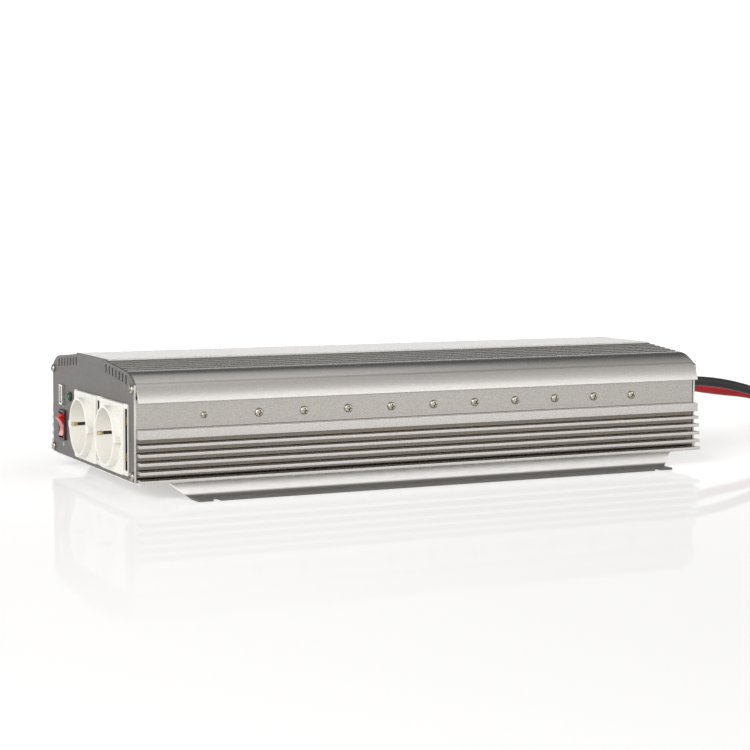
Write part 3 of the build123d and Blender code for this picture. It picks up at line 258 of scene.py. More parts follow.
def skin(bm, rows, looped=False):
    """Faces between neighbouring points of neighbouring rows."""
    for one, two in zip(rows, rows[1:]):
        for j in range(len(one) if looped else len(one) - 1):
            k = (j + 1) % len(one)
            bm.faces.new([one[j], one[k], two[k], two[j]])


def lathe(profile, steps=64, ring=False):
    """Turned shape about the X axis from (x, radius) points; a ring's outline closes on itself."""
    bm = bmesh.new()
    rows = [[bm.verts.new(Vector((x, r * cos(a), r * sin(a))) * MM) for x, r in profile]
            for a in around(steps)]
    count = len(profile)
    for one, two in zip(rows, rows[1:] + rows[:1]):
        for j in range(count if ring else count - 1):
            k = (j + 1) % count
            quad = [one[j], one[k], two[k], two[j]]
            if profile[j][1] < ON_AXIS:
                quad = [one[j], one[k], two[k]]
            elif profile[k][1] < ON_AXIS:
                quad = [one[j], one[k], two[j]]
            bm.faces.new(quad)
    return mesh_of(bm)


def rounded(outline, steps=3):
    """Outline of (y, z, radius) corners with each corner turned into an arc."""
    made = []
    count = len(outline)
    for i, (y, z, radius) in enumerate(outline):
        corner = Vector((y, z))
        back = Vector(outline[i - 1][:2]) - corner
        ahead = Vector(outline[(i + 1) % count][:2]) - corner
        half = back.angle(ahead) / 2 if radius else 0
        if not radius or half > STRAIGHT:
            made.append((y, z))
            continue
        reach = min(radius / tan(half), 0.48 * back.length, 0.48 * ahead.length)
        arc = reach * tan(half)
        centre = corner + (back.normalized() + ahead.normalized()).normalized() * arc / sin(half)
        first, last = (corner + way.normalized() * reach - centre for way in (back, ahead))
        start = atan2(first.y, first.x)
        turn = (atan2(last.y, last.x) - start + pi) % FULL - pi
        for k in range(steps + 1):
            a = start + turn * k / steps
            made.append((centre.x + arc * cos(a), centre.y + arc * sin(a)))
    return made


def rounded_rect(y, z, radius, steps=6):
    (y0, y1), (z0, z1) = sorted(y), sorted(z)
    return rounded([(y0, z0, radius), (y1, z0, radius), (y1, z1, radius), (y0, z1, radius)], steps)


def circle(y, z, radius, steps=64):
    return [(y + radius * cos(a), z + radius * sin(a)) for a in around(steps)]


def mirrored(points):
    """(y, z, radius) corners on the other side of the middle plane, in reverse."""
    return [(-y, z, r) for y, z, r in reversed(points)]


def curve_line(curve, kind, points):
    spline = curve.splines.new(kind)
    spline.points.add(len(points) - 1)
    for point, place in zip(spline.points, points):
        point.co = (*[c * MM for c in place], 1)
    return spline


def plate(outlines, x, edge, edge_steps=2):
    """Flat part across X from its (y, z) outline and the outlines of its holes, its rims rounded."""
    curve = bpy.data.curves.new("outline", "CURVE")
    curve.dimensions, curve.fill_mode = "2D", "BOTH"
    curve.extrude = ((max(x) - min(x)) / 2 - edge) * MM
    curve.bevel_depth, curve.bevel_resolution, curve.offset = edge * MM, edge_steps, -edge * MM
    for outline in outlines:
        curve_line(curve, "POLY", [(y, z, 0) for y, z in outline]).use_cyclic_u = True
    mesh = taken_from(linked("holder", curve))
    bpy.data.curves.remove(curve)
    mesh.transform(Matrix(((0, 0, 1, (x[0] + x[1]) / 2 * MM), (1, 0, 0, 0), (0, 1, 0, 0), (0, 0, 0, 1))))
    bm = opened(mesh)
    bmesh.ops.remove_doubles(bm, verts=bm.verts, dist=WELD)
    bmesh.ops.dissolve_limit(bm, angle_limit=FLAT, verts=bm.verts, edges=bm.edges)
    return smooth(mesh_of(bm))


def round_wire(name, kind, points, radius, steps):
    """Curve with a round section and closed ends, and its line."""
    curve = bpy.data.curves.new(name, "CURVE")
    curve.dimensions, curve.bevel_depth, curve.bevel_resolution = "3D", radius * MM, steps
    curve.use_fill_caps = True
    return curve, curve_line(curve, kind, points)


def softened(name, edge, segments=2):
    """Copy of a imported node's mesh with its edges rounded."""
    bm = opened(frame["nodes"][name].data)
    bmesh.ops.remove_doubles(bm, verts=bm.verts, dist=CAD_WELD)
    bmesh.ops.dissolve_limit(bm, angle_limit=CAD_FLAT, verts=bm.verts, edges=bm.edges)
    return bevelled(closed(bm), edge, segments)


# ---- node trees ----
def node(tree, kind, inputs=(), **settings):
    """Outputs of a new node, whose inputs are linked from sockets or set to values."""
    made = tree.nodes.new(kind)
    for key, value in settings.items():
        setattr(made, key, value)
    for key, value in dict(inputs).items():
        for item in value if isinstance(value, list) else [value]:
            if isinstance(item, bpy.types.NodeSocket):
                tree.links.new(item, made.inputs[key])
            else:
                made.inputs[key].default_value = item
    return made.outputs


def maths(tree, operation, *values):
    return node(tree, "ShaderNodeMath", enumerate(values), operation=operation)[0]


def product(tree, first, *others):
    for other in others:
        first = maths(tree, "MULTIPLY", first, other)
    return first


def mixed(tree, factor, one, two, blend="MIX"):
    """Two colours mixed; a plain colour is given as three numbers."""
    colours = [(*c, 1) if isinstance(c, tuple) else c for c in (one, two)]
    inputs = {"Factor": factor, "A": colours[0], "B": colours[1]}
    return node(tree, "ShaderNodeMix", inputs, data_type="RGBA", blend_type=blend)["Result"]


def spread(tree, value, low, high, to_low=0.0, to_high=1.0, kind="LINEAR"):
    """A value carried from one range to another."""
    inputs = {"Value": value, "From Min": low, "From Max": high, "To Min": to_low, "To Max": to_high}
    return node(tree, "ShaderNodeMapRange", inputs, interpolation_type=kind)["Result"]


def ramp(tree, value, low, high, flip=False):
    """Smooth step of a value between two others."""
    return spread(tree, value, low, high, float(flip), float(not flip), "SMOOTHSTEP")


def ramp_mm(tree, value, low, high, flip=False):
    """Smooth step of a length between two others given in millimetres."""
    return ramp(tree, value, low * MM, high * MM, flip)


def own_place(tree):
    return node(tree, "ShaderNodeTexCoord")["Object"]


def half_and_height(tree):
    """Distance from the middle plane, and height."""
    split = node(tree, "ShaderNodeSeparateXYZ", {0: own_place(tree)})
    return maths(tree, "ABSOLUTE", split["Y"]), split["Z"]


# ---- shared effects ----
def effect(name, scale, more, outputs):
    """Shader group and what its inputs give; further inputs are (name, kind, value)."""
    group = bpy.data.node_groups.new(name, "ShaderNodeTree")
    for label, kind, value in [("Scale", "Float", scale), ("Stretch", "Vector", (1, 1, 1)), *more]:
        socket = group.interface.new_socket(name=label, in_out="INPUT", socket_type=f"NodeSocket{kind}")
        socket.default_value = value
    for label, kind in outputs:
        group.interface.new_socket(name=label, in_out="OUTPUT", socket_type=f"NodeSocket{kind}")
    return group, node(group, "NodeGroupInput")


def stretched_noise(group, given, detail, rough=0.55):
    """Noise on the piece's own coordinates, stretched by the group's Stretch input."""
    places = {0: own_place(group), 1: given["Stretch"]}
    stretched = node(group, "ShaderNodeVectorMath", places, operation="MULTIPLY")[0]
    inputs = {"Vector": stretched, "Scale": given["Scale"], "Detail": detail, "Roughness": rough}
    return node(group, "ShaderNodeTexNoise", inputs)["Fac"]


def grain_effect():
    """Fine relief of a surface, and the roughness that goes with it."""
    more = [("Smoothest", "Float", 0.3), ("Roughest", "Float", 0.5)]
    group, given = effect("surface_grain", 1000.0, more, [("Roughness", "Float"), ("Height", "Float")])
    noise = stretched_noise(group, given, 3.0)
    rough = spread(group, noise, 0.3, 0.7, given["Smoothest"], given["Roughest"])
    node(group, "NodeGroupOutput", {"Roughness": rough, "Height": noise})
    return group


def drift_effect():
    """Slow change between two shades of one colour."""
    more = [("Light", "Color", (1, 1, 1, 1)), ("Dark", "Color", (0, 0, 0, 1))]
    group, given = effect("colour_drift", 20.0, more, [("Colour", "Color")])
    share = spread(group, stretched_noise(group, given, 5.0, 0.6), 0.32, 0.68)
    node(group, "NodeGroupOutput", {"Colour": mixed(group, share, given["Dark"], given["Light"])})
    return group


def scuff_effect():
    """Mask of thin handling scratches, in patches."""
    group, given = effect("handling_scuffs", 60.0, [("Amount", "Float", 0.3)], [("Mask", "Float")])
    bend = node(group, "ShaderNodeTexNoise", {"Scale": 35.0, "Detail": 2.0})["Color"]
    lines = {"Vector": mixed(group, 0.012, own_place(group), bend, "ADD"), "Scale": 240.0}
    edge = node(group, "ShaderNodeTexVoronoi", lines, feature="DISTANCE_TO_EDGE")["Distance"]
    thin = spread(group, edge, 0.0, 0.02, 1.0, 0.0)
    patches = spread(group, stretched_noise(group, given, 2.0), 0.55, 0.75)
    node(group, "NodeGroupOutput", {"Mask": product(group, thin, patches, given["Amount"])})
    return group


EFFECTS = {"grain": grain_effect(), "drift": drift_effect(), "scuffs": scuff_effect()}
SCUFF_COLOUR = (0.8, 0.8, 0.8)


# ---- finishes ----
def finish(name, light, dark, rough, grain=1500.0, stretch=(1, 1, 1), relief=0.05, drift=25.0, scuffs=0.0,
           pattern=None, **shader):
    """Material with drifting colour, grain in its roughness and relief, and thin scuffs."""
    material = bpy.data.materials.new(name)
    material.use_nodes = True
    tree = material.node_tree
    inputs = tree.nodes["Principled BSDF"].inputs
    for key, value in shader.items():
        inputs[key.replace("_", " ")].default_value = value
    values = {
        "grain": {"Scale": grain, "Smoothest": rough[0], "Roughest": rough[1]},
        "drift": {"Scale": drift, "Light": (*light, 1), "Dark": (*dark, 1)},
        "scuffs": {"Amount": scuffs},
    }
    made = {key: node(tree, "ShaderNodeGroup", {"Stretch": stretch, **values[key]}, node_tree=group)
            for key, group in EFFECTS.items()}
    colour, height = made["drift"]["Colour"], made["grain"]["Height"]
    if pattern:
        colour, height = pattern(tree, colour, height)
    bump = {"Strength": 1.0, "Distance": relief * MM, "Height": height}
    for key, socket in (
        ("Base Color", mixed(tree, made["scuffs"]["Mask"], colour, SCUFF_COLOUR)),
        ("Roughness", made["grain"]["Roughness"]),
        ("Normal", node(tree, "ShaderNodeBump", bump)["Normal"]),
    ):
        tree.links.new(socket, inputs[key])
    return material


def wound_turns(pitch, axis, deep):
    """Pattern of parallel turns of wire or tape across one axis."""
    def pattern(tree, colour, height):
        bands = {"Vector": own_place(tree), "Scale": 1000.0 / pitch / 20, "Distortion": 0.4, "Detail": 1.0}
        wave = node(tree, "ShaderNodeTexWave", bands, wave_type="BANDS", bands_direction=axis)
        raised = maths(tree, "MULTIPLY_ADD", wave["Fac"], deep, height)
        return mixed(tree, 0.5, colour, wave["Color"], "MULTIPLY"), raised
    return pattern


def copper_tracks(tree, colour, height):
    """Faint raised tracks under the solder mask."""
    grid = {"Vector": own_place(tree), "Scale": 60.0, "Mortar Size": 0.03, "Color1": (0.2, 0.2, 0.2, 1),
            "Color2": (0.5, 0.5, 0.5, 1), "Mortar": (1, 1, 1, 1)}
    bricks = node(tree, "ShaderNodeTexBrick", grid)
    tint = mixed(tree, 1.0, bricks["Color"], (0.2, 0.6, 0.25), "MULTIPLY")
    return mixed(tree, 0.18, colour, tint, "ADD"), maths(tree, "MULTIPLY_ADD", bricks["Fac"], 0.8, height)


def painted_hollow_shade(tree, colour, height):
    """Painted shade: darker colour deep between the fins, in the side channel and in the grooves of the
    flank.
    """
    half, z = half_and_height(tree)
    under_band = ramp_mm(tree, z, BAND_Z, BAND_Z + 0.4, True)
    between_fins = product(tree, ramp_mm(tree, half, WALL_HALF, WALL_HALF + 7.0, True), under_band)
    fall = (FLANK_DROP - CROWN_STEP) / (FLANK_HALF - CROWN_HALF)
    roof = maths(tree, "MULTIPLY_ADD", half, -fall, (TOP - CROWN_STEP + fall * CROWN_HALF) * MM)
    groove = product(
        tree,
        ramp_mm(tree, maths(tree, "SUBTRACT", roof, z), 0.06, 0.22),
        ramp_mm(tree, half, CROWN_HALF, CROWN_HALF + 0.5),
        ramp_mm(tree, half, FLANK_HALF - 0.5, FLANK_HALF, True),
        ramp_mm(tree, z, TOP - 8.5, TOP - 7.5),
    )
    channel = product(
        tree,
        ramp_mm(tree, half, WALL_HALF + 0.1, WALL_HALF + 0.7, True),
        ramp_mm(tree, z, BAND_Z + BAND_TALL - 0.05, BAND_Z + BAND_TALL + 0.15),
        ramp_mm(tree, half, WALL_HALF - 1.0, WALL_HALF - 0.5),
    )
    # painted shade: each mask darkens the colour where shade falls in these hollows
    for mask, tint in ((between_fins, (0.36, 0.33, 0.29)), (channel, (0.78, 0.77, 0.75)),
                       (groove, (0.10, 0.095, 0.09))):
        colour = mixed(tree, mask, colour, tint, "MULTIPLY")
    return colour, height


def lighter_panel_sides(tree, colour, height):
    """Lighter grey along the outer sides of a panel."""
    half, _ = half_and_height(tree)
    return mixed(tree, ramp_mm(tree, half, 96.9, 97.1), colour, (0.62, 0.61, 0.58)), height


def painted_foot_shade(tree, colour, height):
    """Painted shade and painted reflection of the dark fins: much darker colour along the bend and the foot.
    """
    _, z = half_and_height(tree)
    return mixed(tree, ramp_mm(tree, z, 2.6, 4.4, True), colour, (0.13, 0.125, 0.12), "MULTIPLY"), height


DRAWN = (0.30, 1.0, 1.0)  # marks run along the case, as it was drawn through its die
# Each slot's light shade, dark shade and range of roughness, then what it has of its own.
LOOKS = {
    # the case's pattern paints shade between its fins, in its side channel and in its flank's grooves
    "anodised_case": ((0.585, 0.565, 0.545), (0.535, 0.515, 0.495), (0.24, 0.31), dict(
        grain=1800.0, stretch=DRAWN, relief=0.0025, drift=800.0, pattern=painted_hollow_shade, Metallic=1.0)),
    # the base's pattern paints shade and the fins' reflection on the bend and the foot
    "base_sheet": ((0.95, 0.935, 0.92), (0.86, 0.845, 0.83), (0.42, 0.60), dict(
        stretch=DRAWN, relief=0.03, drift=420.0, scuffs=0.1, pattern=painted_foot_shade, Metallic=0.2)),
    "panel_paint": ((0.160, 0.150, 0.143), (0.120, 0.112, 0.106), (0.42, 0.58), dict(
        grain=1700.0, drift=500.0, scuffs=0.06, pattern=lighter_panel_sides, Metallic=0.35)),
    "screw_nickel": ((0.56, 0.53, 0.46), (0.36, 0.335, 0.28), (0.14, 0.26), dict(
        grain=2600.0, relief=0.012, drift=400.0, scuffs=0.35, Metallic=1.0)),
    "outlet_cream": ((0.84, 0.83, 0.775), (0.79, 0.775, 0.71), (0.24, 0.36), dict(
        grain=1400.0, relief=0.008, drift=35.0, scuffs=0.05, Subsurface_Weight=0.08,
        Subsurface_Radius=(0.004, 0.003, 0.002), Coat_Weight=0.12)),
    "contact_brass": ((0.78, 0.60, 0.29), (0.56, 0.40, 0.16), (0.20, 0.38), dict(
        grain=1800.0, relief=0.012, drift=220.0, scuffs=0.3, Metallic=1.0)),
    "switch_black": ((0.024, 0.024, 0.025), (0.014, 0.014, 0.015), (0.34, 0.50), dict(
        grain=2600.0, relief=0.02, drift=120.0, scuffs=0.05)),
    "rocker_red": ((0.72, 0.012, 0.008), (0.55, 0.004, 0.004), (0.16, 0.26), dict(
        grain=700.0, relief=0.004, drift=160.0, Subsurface_Weight=0.3,
        Subsurface_Radius=(0.006, 0.001, 0.001), Coat_Weight=0.25, Coat_Roughness=0.1)),
    "usb_steel": ((0.80, 0.80, 0.78), (0.64, 0.64, 0.62), (0.16, 0.30), dict(
        grain=2200.0, relief=0.01, drift=240.0, scuffs=0.2, Metallic=1.0)),
    "usb_insert": ((0.88, 0.88, 0.86), (0.78, 0.78, 0.76), (0.35, 0.5), dict(relief=0.01)),
    "lamp_green": ((0.02, 0.20, 0.065), (0.008, 0.10, 0.03), (0.05, 0.14), dict(
        grain=600.0, relief=0.004, drift=300.0, Coat_Weight=0.8, Coat_Roughness=0.04, Subsurface_Weight=0.3,
        Subsurface_Radius=(0.001, 0.004, 0.001))),
    "lamp_collar": ((0.030, 0.036, 0.032), (0.016, 0.020, 0.017), (0.25, 0.4), dict(relief=0.012)),
    "fan_black": ((0.035, 0.035, 0.038), (0.020, 0.020, 0.022), (0.36, 0.54), dict(
        relief=0.02, drift=70.0, scuffs=0.06)),
    "guard_wire": ((0.80, 0.80, 0.80), (0.66, 0.66, 0.66), (0.10, 0.24), dict(
        grain=1200.0, relief=0.008, drift=200.0, scuffs=0.15, Metallic=1.0)),
    "relief_rubber": ((0.030, 0.030, 0.031), (0.017, 0.017, 0.018), (0.52, 0.72), dict(
        grain=2300.0, relief=0.03, drift=110.0)),
    "lead_black": ((0.026, 0.026, 0.028), (0.013, 0.013, 0.014), (0.28, 0.44), dict(
        grain=520.0, drift=45.0, scuffs=0.03, Specular_IOR_Level=0.3)),
    "lead_red": ((0.50, 0.012, 0.016), (0.34, 0.006, 0.010), (0.26, 0.42), dict(
        grain=520.0, drift=45.0, scuffs=0.03, Specular_IOR_Level=0.3)),
    "lug_tin": ((0.76, 0.76, 0.75), (0.58, 0.58, 0.57), (0.22, 0.42), dict(
        grain=1100.0, relief=0.02, drift=130.0, scuffs=0.35, Metallic=1.0)),
    "stud_brass": ((0.76, 0.62, 0.34), (0.55, 0.43, 0.20), (0.18, 0.34), dict(
        grain=1900.0, relief=0.012, drift=260.0, scuffs=0.2, Metallic=1.0)),
    "board_green": ((0.030, 0.20, 0.085), (0.018, 0.14, 0.058), (0.18, 0.32), dict(
        relief=0.02, drift=60.0, pattern=copper_tracks)),
    "ferrite": ((0.10, 0.10, 0.105), (0.055, 0.055, 0.06), (0.4, 0.62), dict(grain=900.0, relief=0.04)),
    "winding_tape": ((0.84, 0.66, 0.14), (0.66, 0.48, 0.07), (0.16, 0.3), dict(
        relief=0.03, pattern=wound_turns(1.6, "Z", 2.0))),
    "can_sleeve": ((0.045, 0.075, 0.24), (0.025, 0.045, 0.15), (0.15, 0.28), dict(relief=0.02, drift=90.0)),
    "chip_black": ((0.040, 0.040, 0.042), (0.022, 0.022, 0.024), (0.45, 0.62), dict(relief=0.03)),
    "bar_steel": ((0.58, 0.58, 0.60), (0.42, 0.42, 0.44), (0.28, 0.46), dict(
        stretch=(0.05, 1, 1), relief=0.02, scuffs=0.3, Metallic=1.0)),
    "pad_grey": ((0.48, 0.49, 0.50), (0.40, 0.41, 0.42), (0.55, 0.72), dict(
        relief=0.03, pattern=wound_turns(0.8, "X", 0.6))),
    "fuse_yellow": ((0.86, 0.62, 0.06), (0.72, 0.46, 0.03), (0.12, 0.24), dict(relief=0.01, Coat_Weight=0.4)),
    "mark_ink": ((0.84, 0.84, 0.82), (0.72, 0.72, 0.70), (0.4, 0.55), dict(relief=0.01)),
}
FINISHES = {name: finish(name, *look, **own) for name, (*look, own) in LOOKS.items()}

for row in frame["record"]["subparts"]:
    data = frame["nodes"][row["node"]].data
    data.materials.clear()
    data.materials.append(FINISHES[row["material_slot"]])


# ---- pieces ----
def piece(name, mesh, slot, stands_for=(), body="case", ink=None):
    """Shown object from a finished mesh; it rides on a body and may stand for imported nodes."""
    mesh.name = name
    mesh.materials.clear()
    mesh.materials.append(FINISHES[ink or slot])
    made = linked(name, mesh)
    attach(made, body)
    if stands_for:
        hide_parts(*stands_for)
    return made


# ---- camera ----
def pointed(place, way, axis="-Z", up="Y"):
    """Matrix that stands at a place in metres with one axis along a way."""
    return Matrix.Translation(place) @ way.to_track_quat(axis, up).to_matrix().to_4x4()


def set_camera():
    """Long lens, low beside the outlets' end."""
    place, yaw, down, roll = Vector((-0.64223, -1.30450, 0.19759)), 25.894, 4.199, 0.195
    yaw, down = radians(yaw), radians(down)
    data = bpy.data.cameras.new("camera")
    data.lens, data.sensor_width = 89.32, 36.0
    data.shift_x, data.shift_y = 0.008, -0.0347
    ahead = Vector((sin(yaw), cos(yaw), -tan(down)))
    camera = linked("camera", data)
    camera.matrix_world = pointed(place, ahead) @ Matrix.Rotation(radians(roll), 4, "Z")
    bpy.context.scene.camera = camera


set_camera()

# ---- battery leads ----
# Each lead's side of the middle plane, the length of its route before the coil, and the route's points.
LEADS = {
    "black": (-1, 228.4, [
        (LEAD_EXIT, -LEAD_Y, LEAD_Z), (284.0, -LEAD_Y, LEAD_Z), (316.0, -13.6, 54.2), (349.0, -13.9, 46.6),
        (381.0, -13.8, 35.0), (410.0, -13.4, 21.2), (436.0, -13.2, 9.6), (459.0, -13.1, LIE_Z),
        (COIL_X, -LEAD_Y, LIE_Z),
    ]),
    "red": (1, 228.0, [
        (LEAD_EXIT, LEAD_Y, LEAD_Z), (275.0, LEAD_Y, LEAD_Z), (302.0, 13.8, 49.4), (335.0, 14.5, 44.2),
        (369.0, 14.4, 40.4), (399.0, 13.9, 32.0), (425.0, 13.5, 19.0), (445.0, 13.2, 8.6),
        (462.0, 13.1, LIE_Z), (COIL_X, LEAD_Y, LIE_Z),
    ]),
}


def coil_point(side, turn_by, radius):
    """Point of the coil after so many degrees of turn; side 1 winds to the left."""
    share = min(max((turn_by - CLIMB_START) / (CLIMB_END - CLIMB_START), 0.0), 1.0)
    z = LIE_Z + (UPPER_Z - LIE_Z) * share * share * (3 - 2 * share)
    a = radians(turn_by - 90)
    y = side * (LEAD_Y + COIL_R) + side * radius * sin(a)
    return Vector((COIL_X + radius * cos(a), y, z))


def lead_curve(name, side, turn_by, route):
    """The lead's curve: its route, then its coil through points a little outside the coil's circle."""
    step = turn_by / COIL_STEPS
    outside = COIL_R / cos(radians(step / 2))
    points = [*route, *[coil_point(side, (k + 0.5) * step, outside) for k in range(COIL_STEPS)]]
    curve, line = round_wire(name, "NURBS", [*points, coil_point(side, turn_by, COIL_R)], LEAD_D / 2, 6)
    line.order_u, line.use_endpoint_u, line.resolution_u = 3, True, 8
    curve.materials.append(FINISHES[name])
    return linked(name + "_cable", curve)


def ring_lug(name, side, turn_by):
    """Tinned lug with two crimps in its barrel, and a shrink sleeve over the crimp's mouth."""
    a = radians(turn_by)
    way = Vector((cos(a), side * sin(a), 0))
    sleeve = [(-11, 4.02), (-11, 4.22), (-10.4, 4.32), (-1.5, 4.34), (0.0, 4.38), (6.5, 4.34), (7.4, 4.28),
              (7.6, 4.02)]
    shrunk = lathe(sleeve, ring=True)
    shrunk.transform(pointed(coil_point(side, turn_by, COIL_R) * MM, way, "X", "Z"))
    lug = piece(f"lug_{name}", softened(f"lead_lug_{name}", 0.25), "lug_tin", [f"lead_lug_{name}"])
    return lug, piece(f"lug_sleeve_{name}", smooth(shrunk), f"lead_{name}")


def strain_relief(name, side):
    """Rubber boot: a flange against the panel, then a taper cut by open slots into a flexing spine."""
    start, tip = REAR_FACE + 3.0, LEAD_EXIT
    profile = [(CASE_REAR - 2.5, 4.1), (CASE_REAR - 2.5, 8.6), (CASE_REAR - 2.1, 9.0), (CASE_REAR, 9.0),
               (CASE_REAR, RELIEF_NECK_R), (REAR_FACE, RELIEF_NECK_R), (REAR_FACE, 8.6),
               (REAR_FACE + 0.4, 9.0), (start - 0.7, 9.0), (start, 8.4)]
    pitch = (tip - start - 4.0) / RELIEF_SLOTS
    for i in range(RELIEF_SLOTS):
        x = start + 1.2 + i * pitch
        r = RELIEF_ROOT_R + (RELIEF_TIP_R - RELIEF_ROOT_R) * (x - start) / (tip - start)
        profile += [(x + share * pitch, r - deep) for share, deep in
                    ((0, 0.1), (0.15, 0), (0.5, 0.1), (0.55, 1.05), (0.93, 1.15))]
    profile += [(tip - 2.6, RELIEF_TIP_R), (tip - 0.5, RELIEF_TIP_R - 0.1), (tip, RELIEF_TIP_R - 0.6),
                (tip, 4.1)]
    mesh = smooth(moved(lathe(profile, ring=True), 0, side * LEAD_Y, LEAD_Z))
    return piece(f"boot_{name}", mesh, "relief_rubber", [f"strain_relief_{name}"])


for colour, (lead_side, route_length, route) in LEADS.items():
    coiled = degrees((LEAD_LENGTH - route_length) / COIL_R)
    lead = lead_curve(f"lead_{colour}", lead_side, coiled, route)
    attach(lead, "case")
    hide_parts(f"lead_{colour}", f"lead_coil_{colour}")
    boot = strain_relief(colour, lead_side)
    lug, lug_cover = ring_lug(colour, lead_side, coiled)


# ---- geometry trees ----
class Tree:
    """Geometry node tree with named inputs; it ends in realised instances and a material."""

    def __init__(self, name, **inputs):
        self.tree = bpy.data.node_groups.new(name, "GeometryNodeTree")
        self.ids = {}
        for label, kind in {"Geometry": "Geometry", **inputs, "Finish": "Material"}.items():
            socket = self.tree.interface.new_socket(
                name=label.replace("_", " "), in_out="INPUT", socket_type=f"NodeSocket{kind}")
            self.ids[label] = socket.identifier
        self.tree.interface.new_socket(name="Geometry", in_out="OUTPUT", socket_type="NodeSocketGeometry")
        self.given = node(self.tree, "NodeGroupInput")

    def add(self, kind, inputs=(), pick=0, **settings):
        """One output of a new node."""
        return node(self.tree, kind, inputs, **settings)[pick]

    def end(self, geometry):
        real = self.add("GeometryNodeRealizeInstances", {"Geometry": geometry})
        painted = self.add("GeometryNodeSetMaterial", {"Geometry": real, "Material": self.given["Finish"]})
        node(self.tree, "NodeGroupOutput", {0: painted})
        return self

    def run(self, base, finish_name, **values):
        """Plain mesh that the tree makes from a base mesh and its inputs' values."""
        holder = linked("holder", base)
        modifier = holder.modifiers.new("tree", "NODES")
        modifier.node_group = self.tree
        for label, value in {**values, "Finish": FINISHES[finish_name]}.items():
            modifier[self.ids[label]] = value
        return taken_from(holder)


def screw_tree():
    """A screw at each point of the base, along its facing, each turned by its own angle."""
    tree = Tree("pan_screws", Head="Object", Head_radius="Float", Head_height="Float", Shank_radius="Float",
                Shank_length="Float", Turn_seed="Int")
    add, given = tree.add, tree.given
    size = {0: given["Head radius"], 1: given["Head radius"], 2: given["Head height"]}
    source = add("GeometryNodeObjectInfo", {"Object": given["Head"]}, "Geometry")
    head = add("GeometryNodeTransform", {"Geometry": source, "Scale": add("ShaderNodeCombineXYZ", size)})
    shank = add("GeometryNodeMeshCylinder",
                {"Vertices": 20, "Radius": given["Shank radius"], "Depth": given["Shank length"]})
    below = add("ShaderNodeCombineXYZ", {2: maths(tree.tree, "MULTIPLY", given["Shank length"], -0.5)})
    under = add("GeometryNodeTransform", {"Geometry": shank, "Translation": below})
    both = add("GeometryNodeJoinGeometry", {0: [head, under]})
    facing = add("GeometryNodeInputNamedAttribute", {"Name": "facing"}, data_type="FLOAT_VECTOR")
    aligned = add("FunctionNodeAlignRotationToVector", {"Vector": facing}, axis="Z")
    draw = {2: 0.0, 3: FULL, "Seed": given["Turn seed"]}
    angle = add("FunctionNodeRandomValue", draw, 1, data_type="FLOAT")
    spin = add("FunctionNodeAxisAngleToRotation", {"Angle": angle})
    turns = {"Rotation": aligned, "Rotate By": spin}
    turned_head = add("FunctionNodeRotateRotation", turns, rotation_space="LOCAL")
    placed = {"Points": given["Geometry"], "Instance": both, "Rotation": turned_head}
    return tree.end(add("GeometryNodeInstanceOnPoints", placed))


def ring_tree():
    """Wire rings about the X axis, their radius and place running evenly from first to last."""
    tree = Tree("wire_rings", Count="Int", First_radius="Float", Last_radius="Float", Reach="Float",
                Wire_radius="Float")
    add, given = tree.add, tree.given
    last = maths(tree.tree, "ADD", given["Count"], -1.0)
    along = add("ShaderNodeCombineXYZ", {0: maths(tree.tree, "DIVIDE", given["Reach"], last)})
    line = add("GeometryNodeMeshLine", {"Count": given["Count"], "Offset": along})
    size = add("ShaderNodeMapRange", {"Value": add("GeometryNodeInputIndex"), "From Max": last,
                                      "To Min": given["First radius"], "To Max": given["Last radius"]})
    hoop = add("GeometryNodeCurvePrimitiveCircle", {"Resolution": 72, "Radius": 1.0})
    placed = {"Points": line, "Instance": hoop, "Rotation": (0, pi / 2, 0), "Scale": size}
    hoops = add("GeometryNodeRealizeInstances", {"Geometry": add("GeometryNodeInstanceOnPoints", placed)})
    wire = add("GeometryNodeCurvePrimitiveCircle", {"Resolution": 12, "Radius": given["Wire radius"]})
    return tree.end(add("GeometryNodeCurveToMesh", {"Curve": hoops, "Profile Curve": wire}))


def fan_out_tree():
    """Copies of the base turned evenly about the X axis."""
    tree = Tree("turned_copies", Count="Int")
    add, given = tree.add, tree.given
    points = add("GeometryNodeMeshLine", {"Count": given["Count"], "Offset": (0, 0, 0)})
    share = maths(tree.tree, "DIVIDE", add("GeometryNodeInputIndex"), given["Count"])
    turn = add("ShaderNodeCombineXYZ", {0: maths(tree.tree, "MULTIPLY", share, FULL)})
    placed = {"Points": points, "Instance": given["Geometry"], "Rotation": turn}
    return tree.end(add("GeometryNodeInstanceOnPoints", placed))


SCREWS, RINGS, TURNED = screw_tree(), ring_tree(), fan_out_tree()


# ---- screws ----
def crossed_head():
    """Pan head of unit radius and height, with a tapered cross sunk in it, its underside at z = 0."""
    dome = [(0.0, 0.0), (0.0, 0.97), (0.06, 1.0), (0.45, 1.0), (0.66, 0.93), (0.82, 0.78), (0.93, 0.55),
            (1.0, 0.25), (1.0, 0.0)]
    bars = []
    for turn_by in (0, 90):
        bm = bmesh.new()
        bmesh.ops.create_cube(bm, size=1.0)
        for vert in bm.verts:
            reach, half, z = (0.68, 0.19, 1.2) if vert.co.z > 0 else (0.34, 0.12, 0.06)
            vert.co = (copysign(reach, vert.co.x), copysign(half, vert.co.y), z)
        bars.append(turned(mesh_of(bm), turn_by, "Z"))
    head = turned(lathe([(x / MM, r / MM) for x, r in dome], 40), -90, "Y")
    return bpy.data.objects.new("head_shape", creased(mesh_of(opened(cut(head, *bars))), 40))


HEAD = crossed_head()
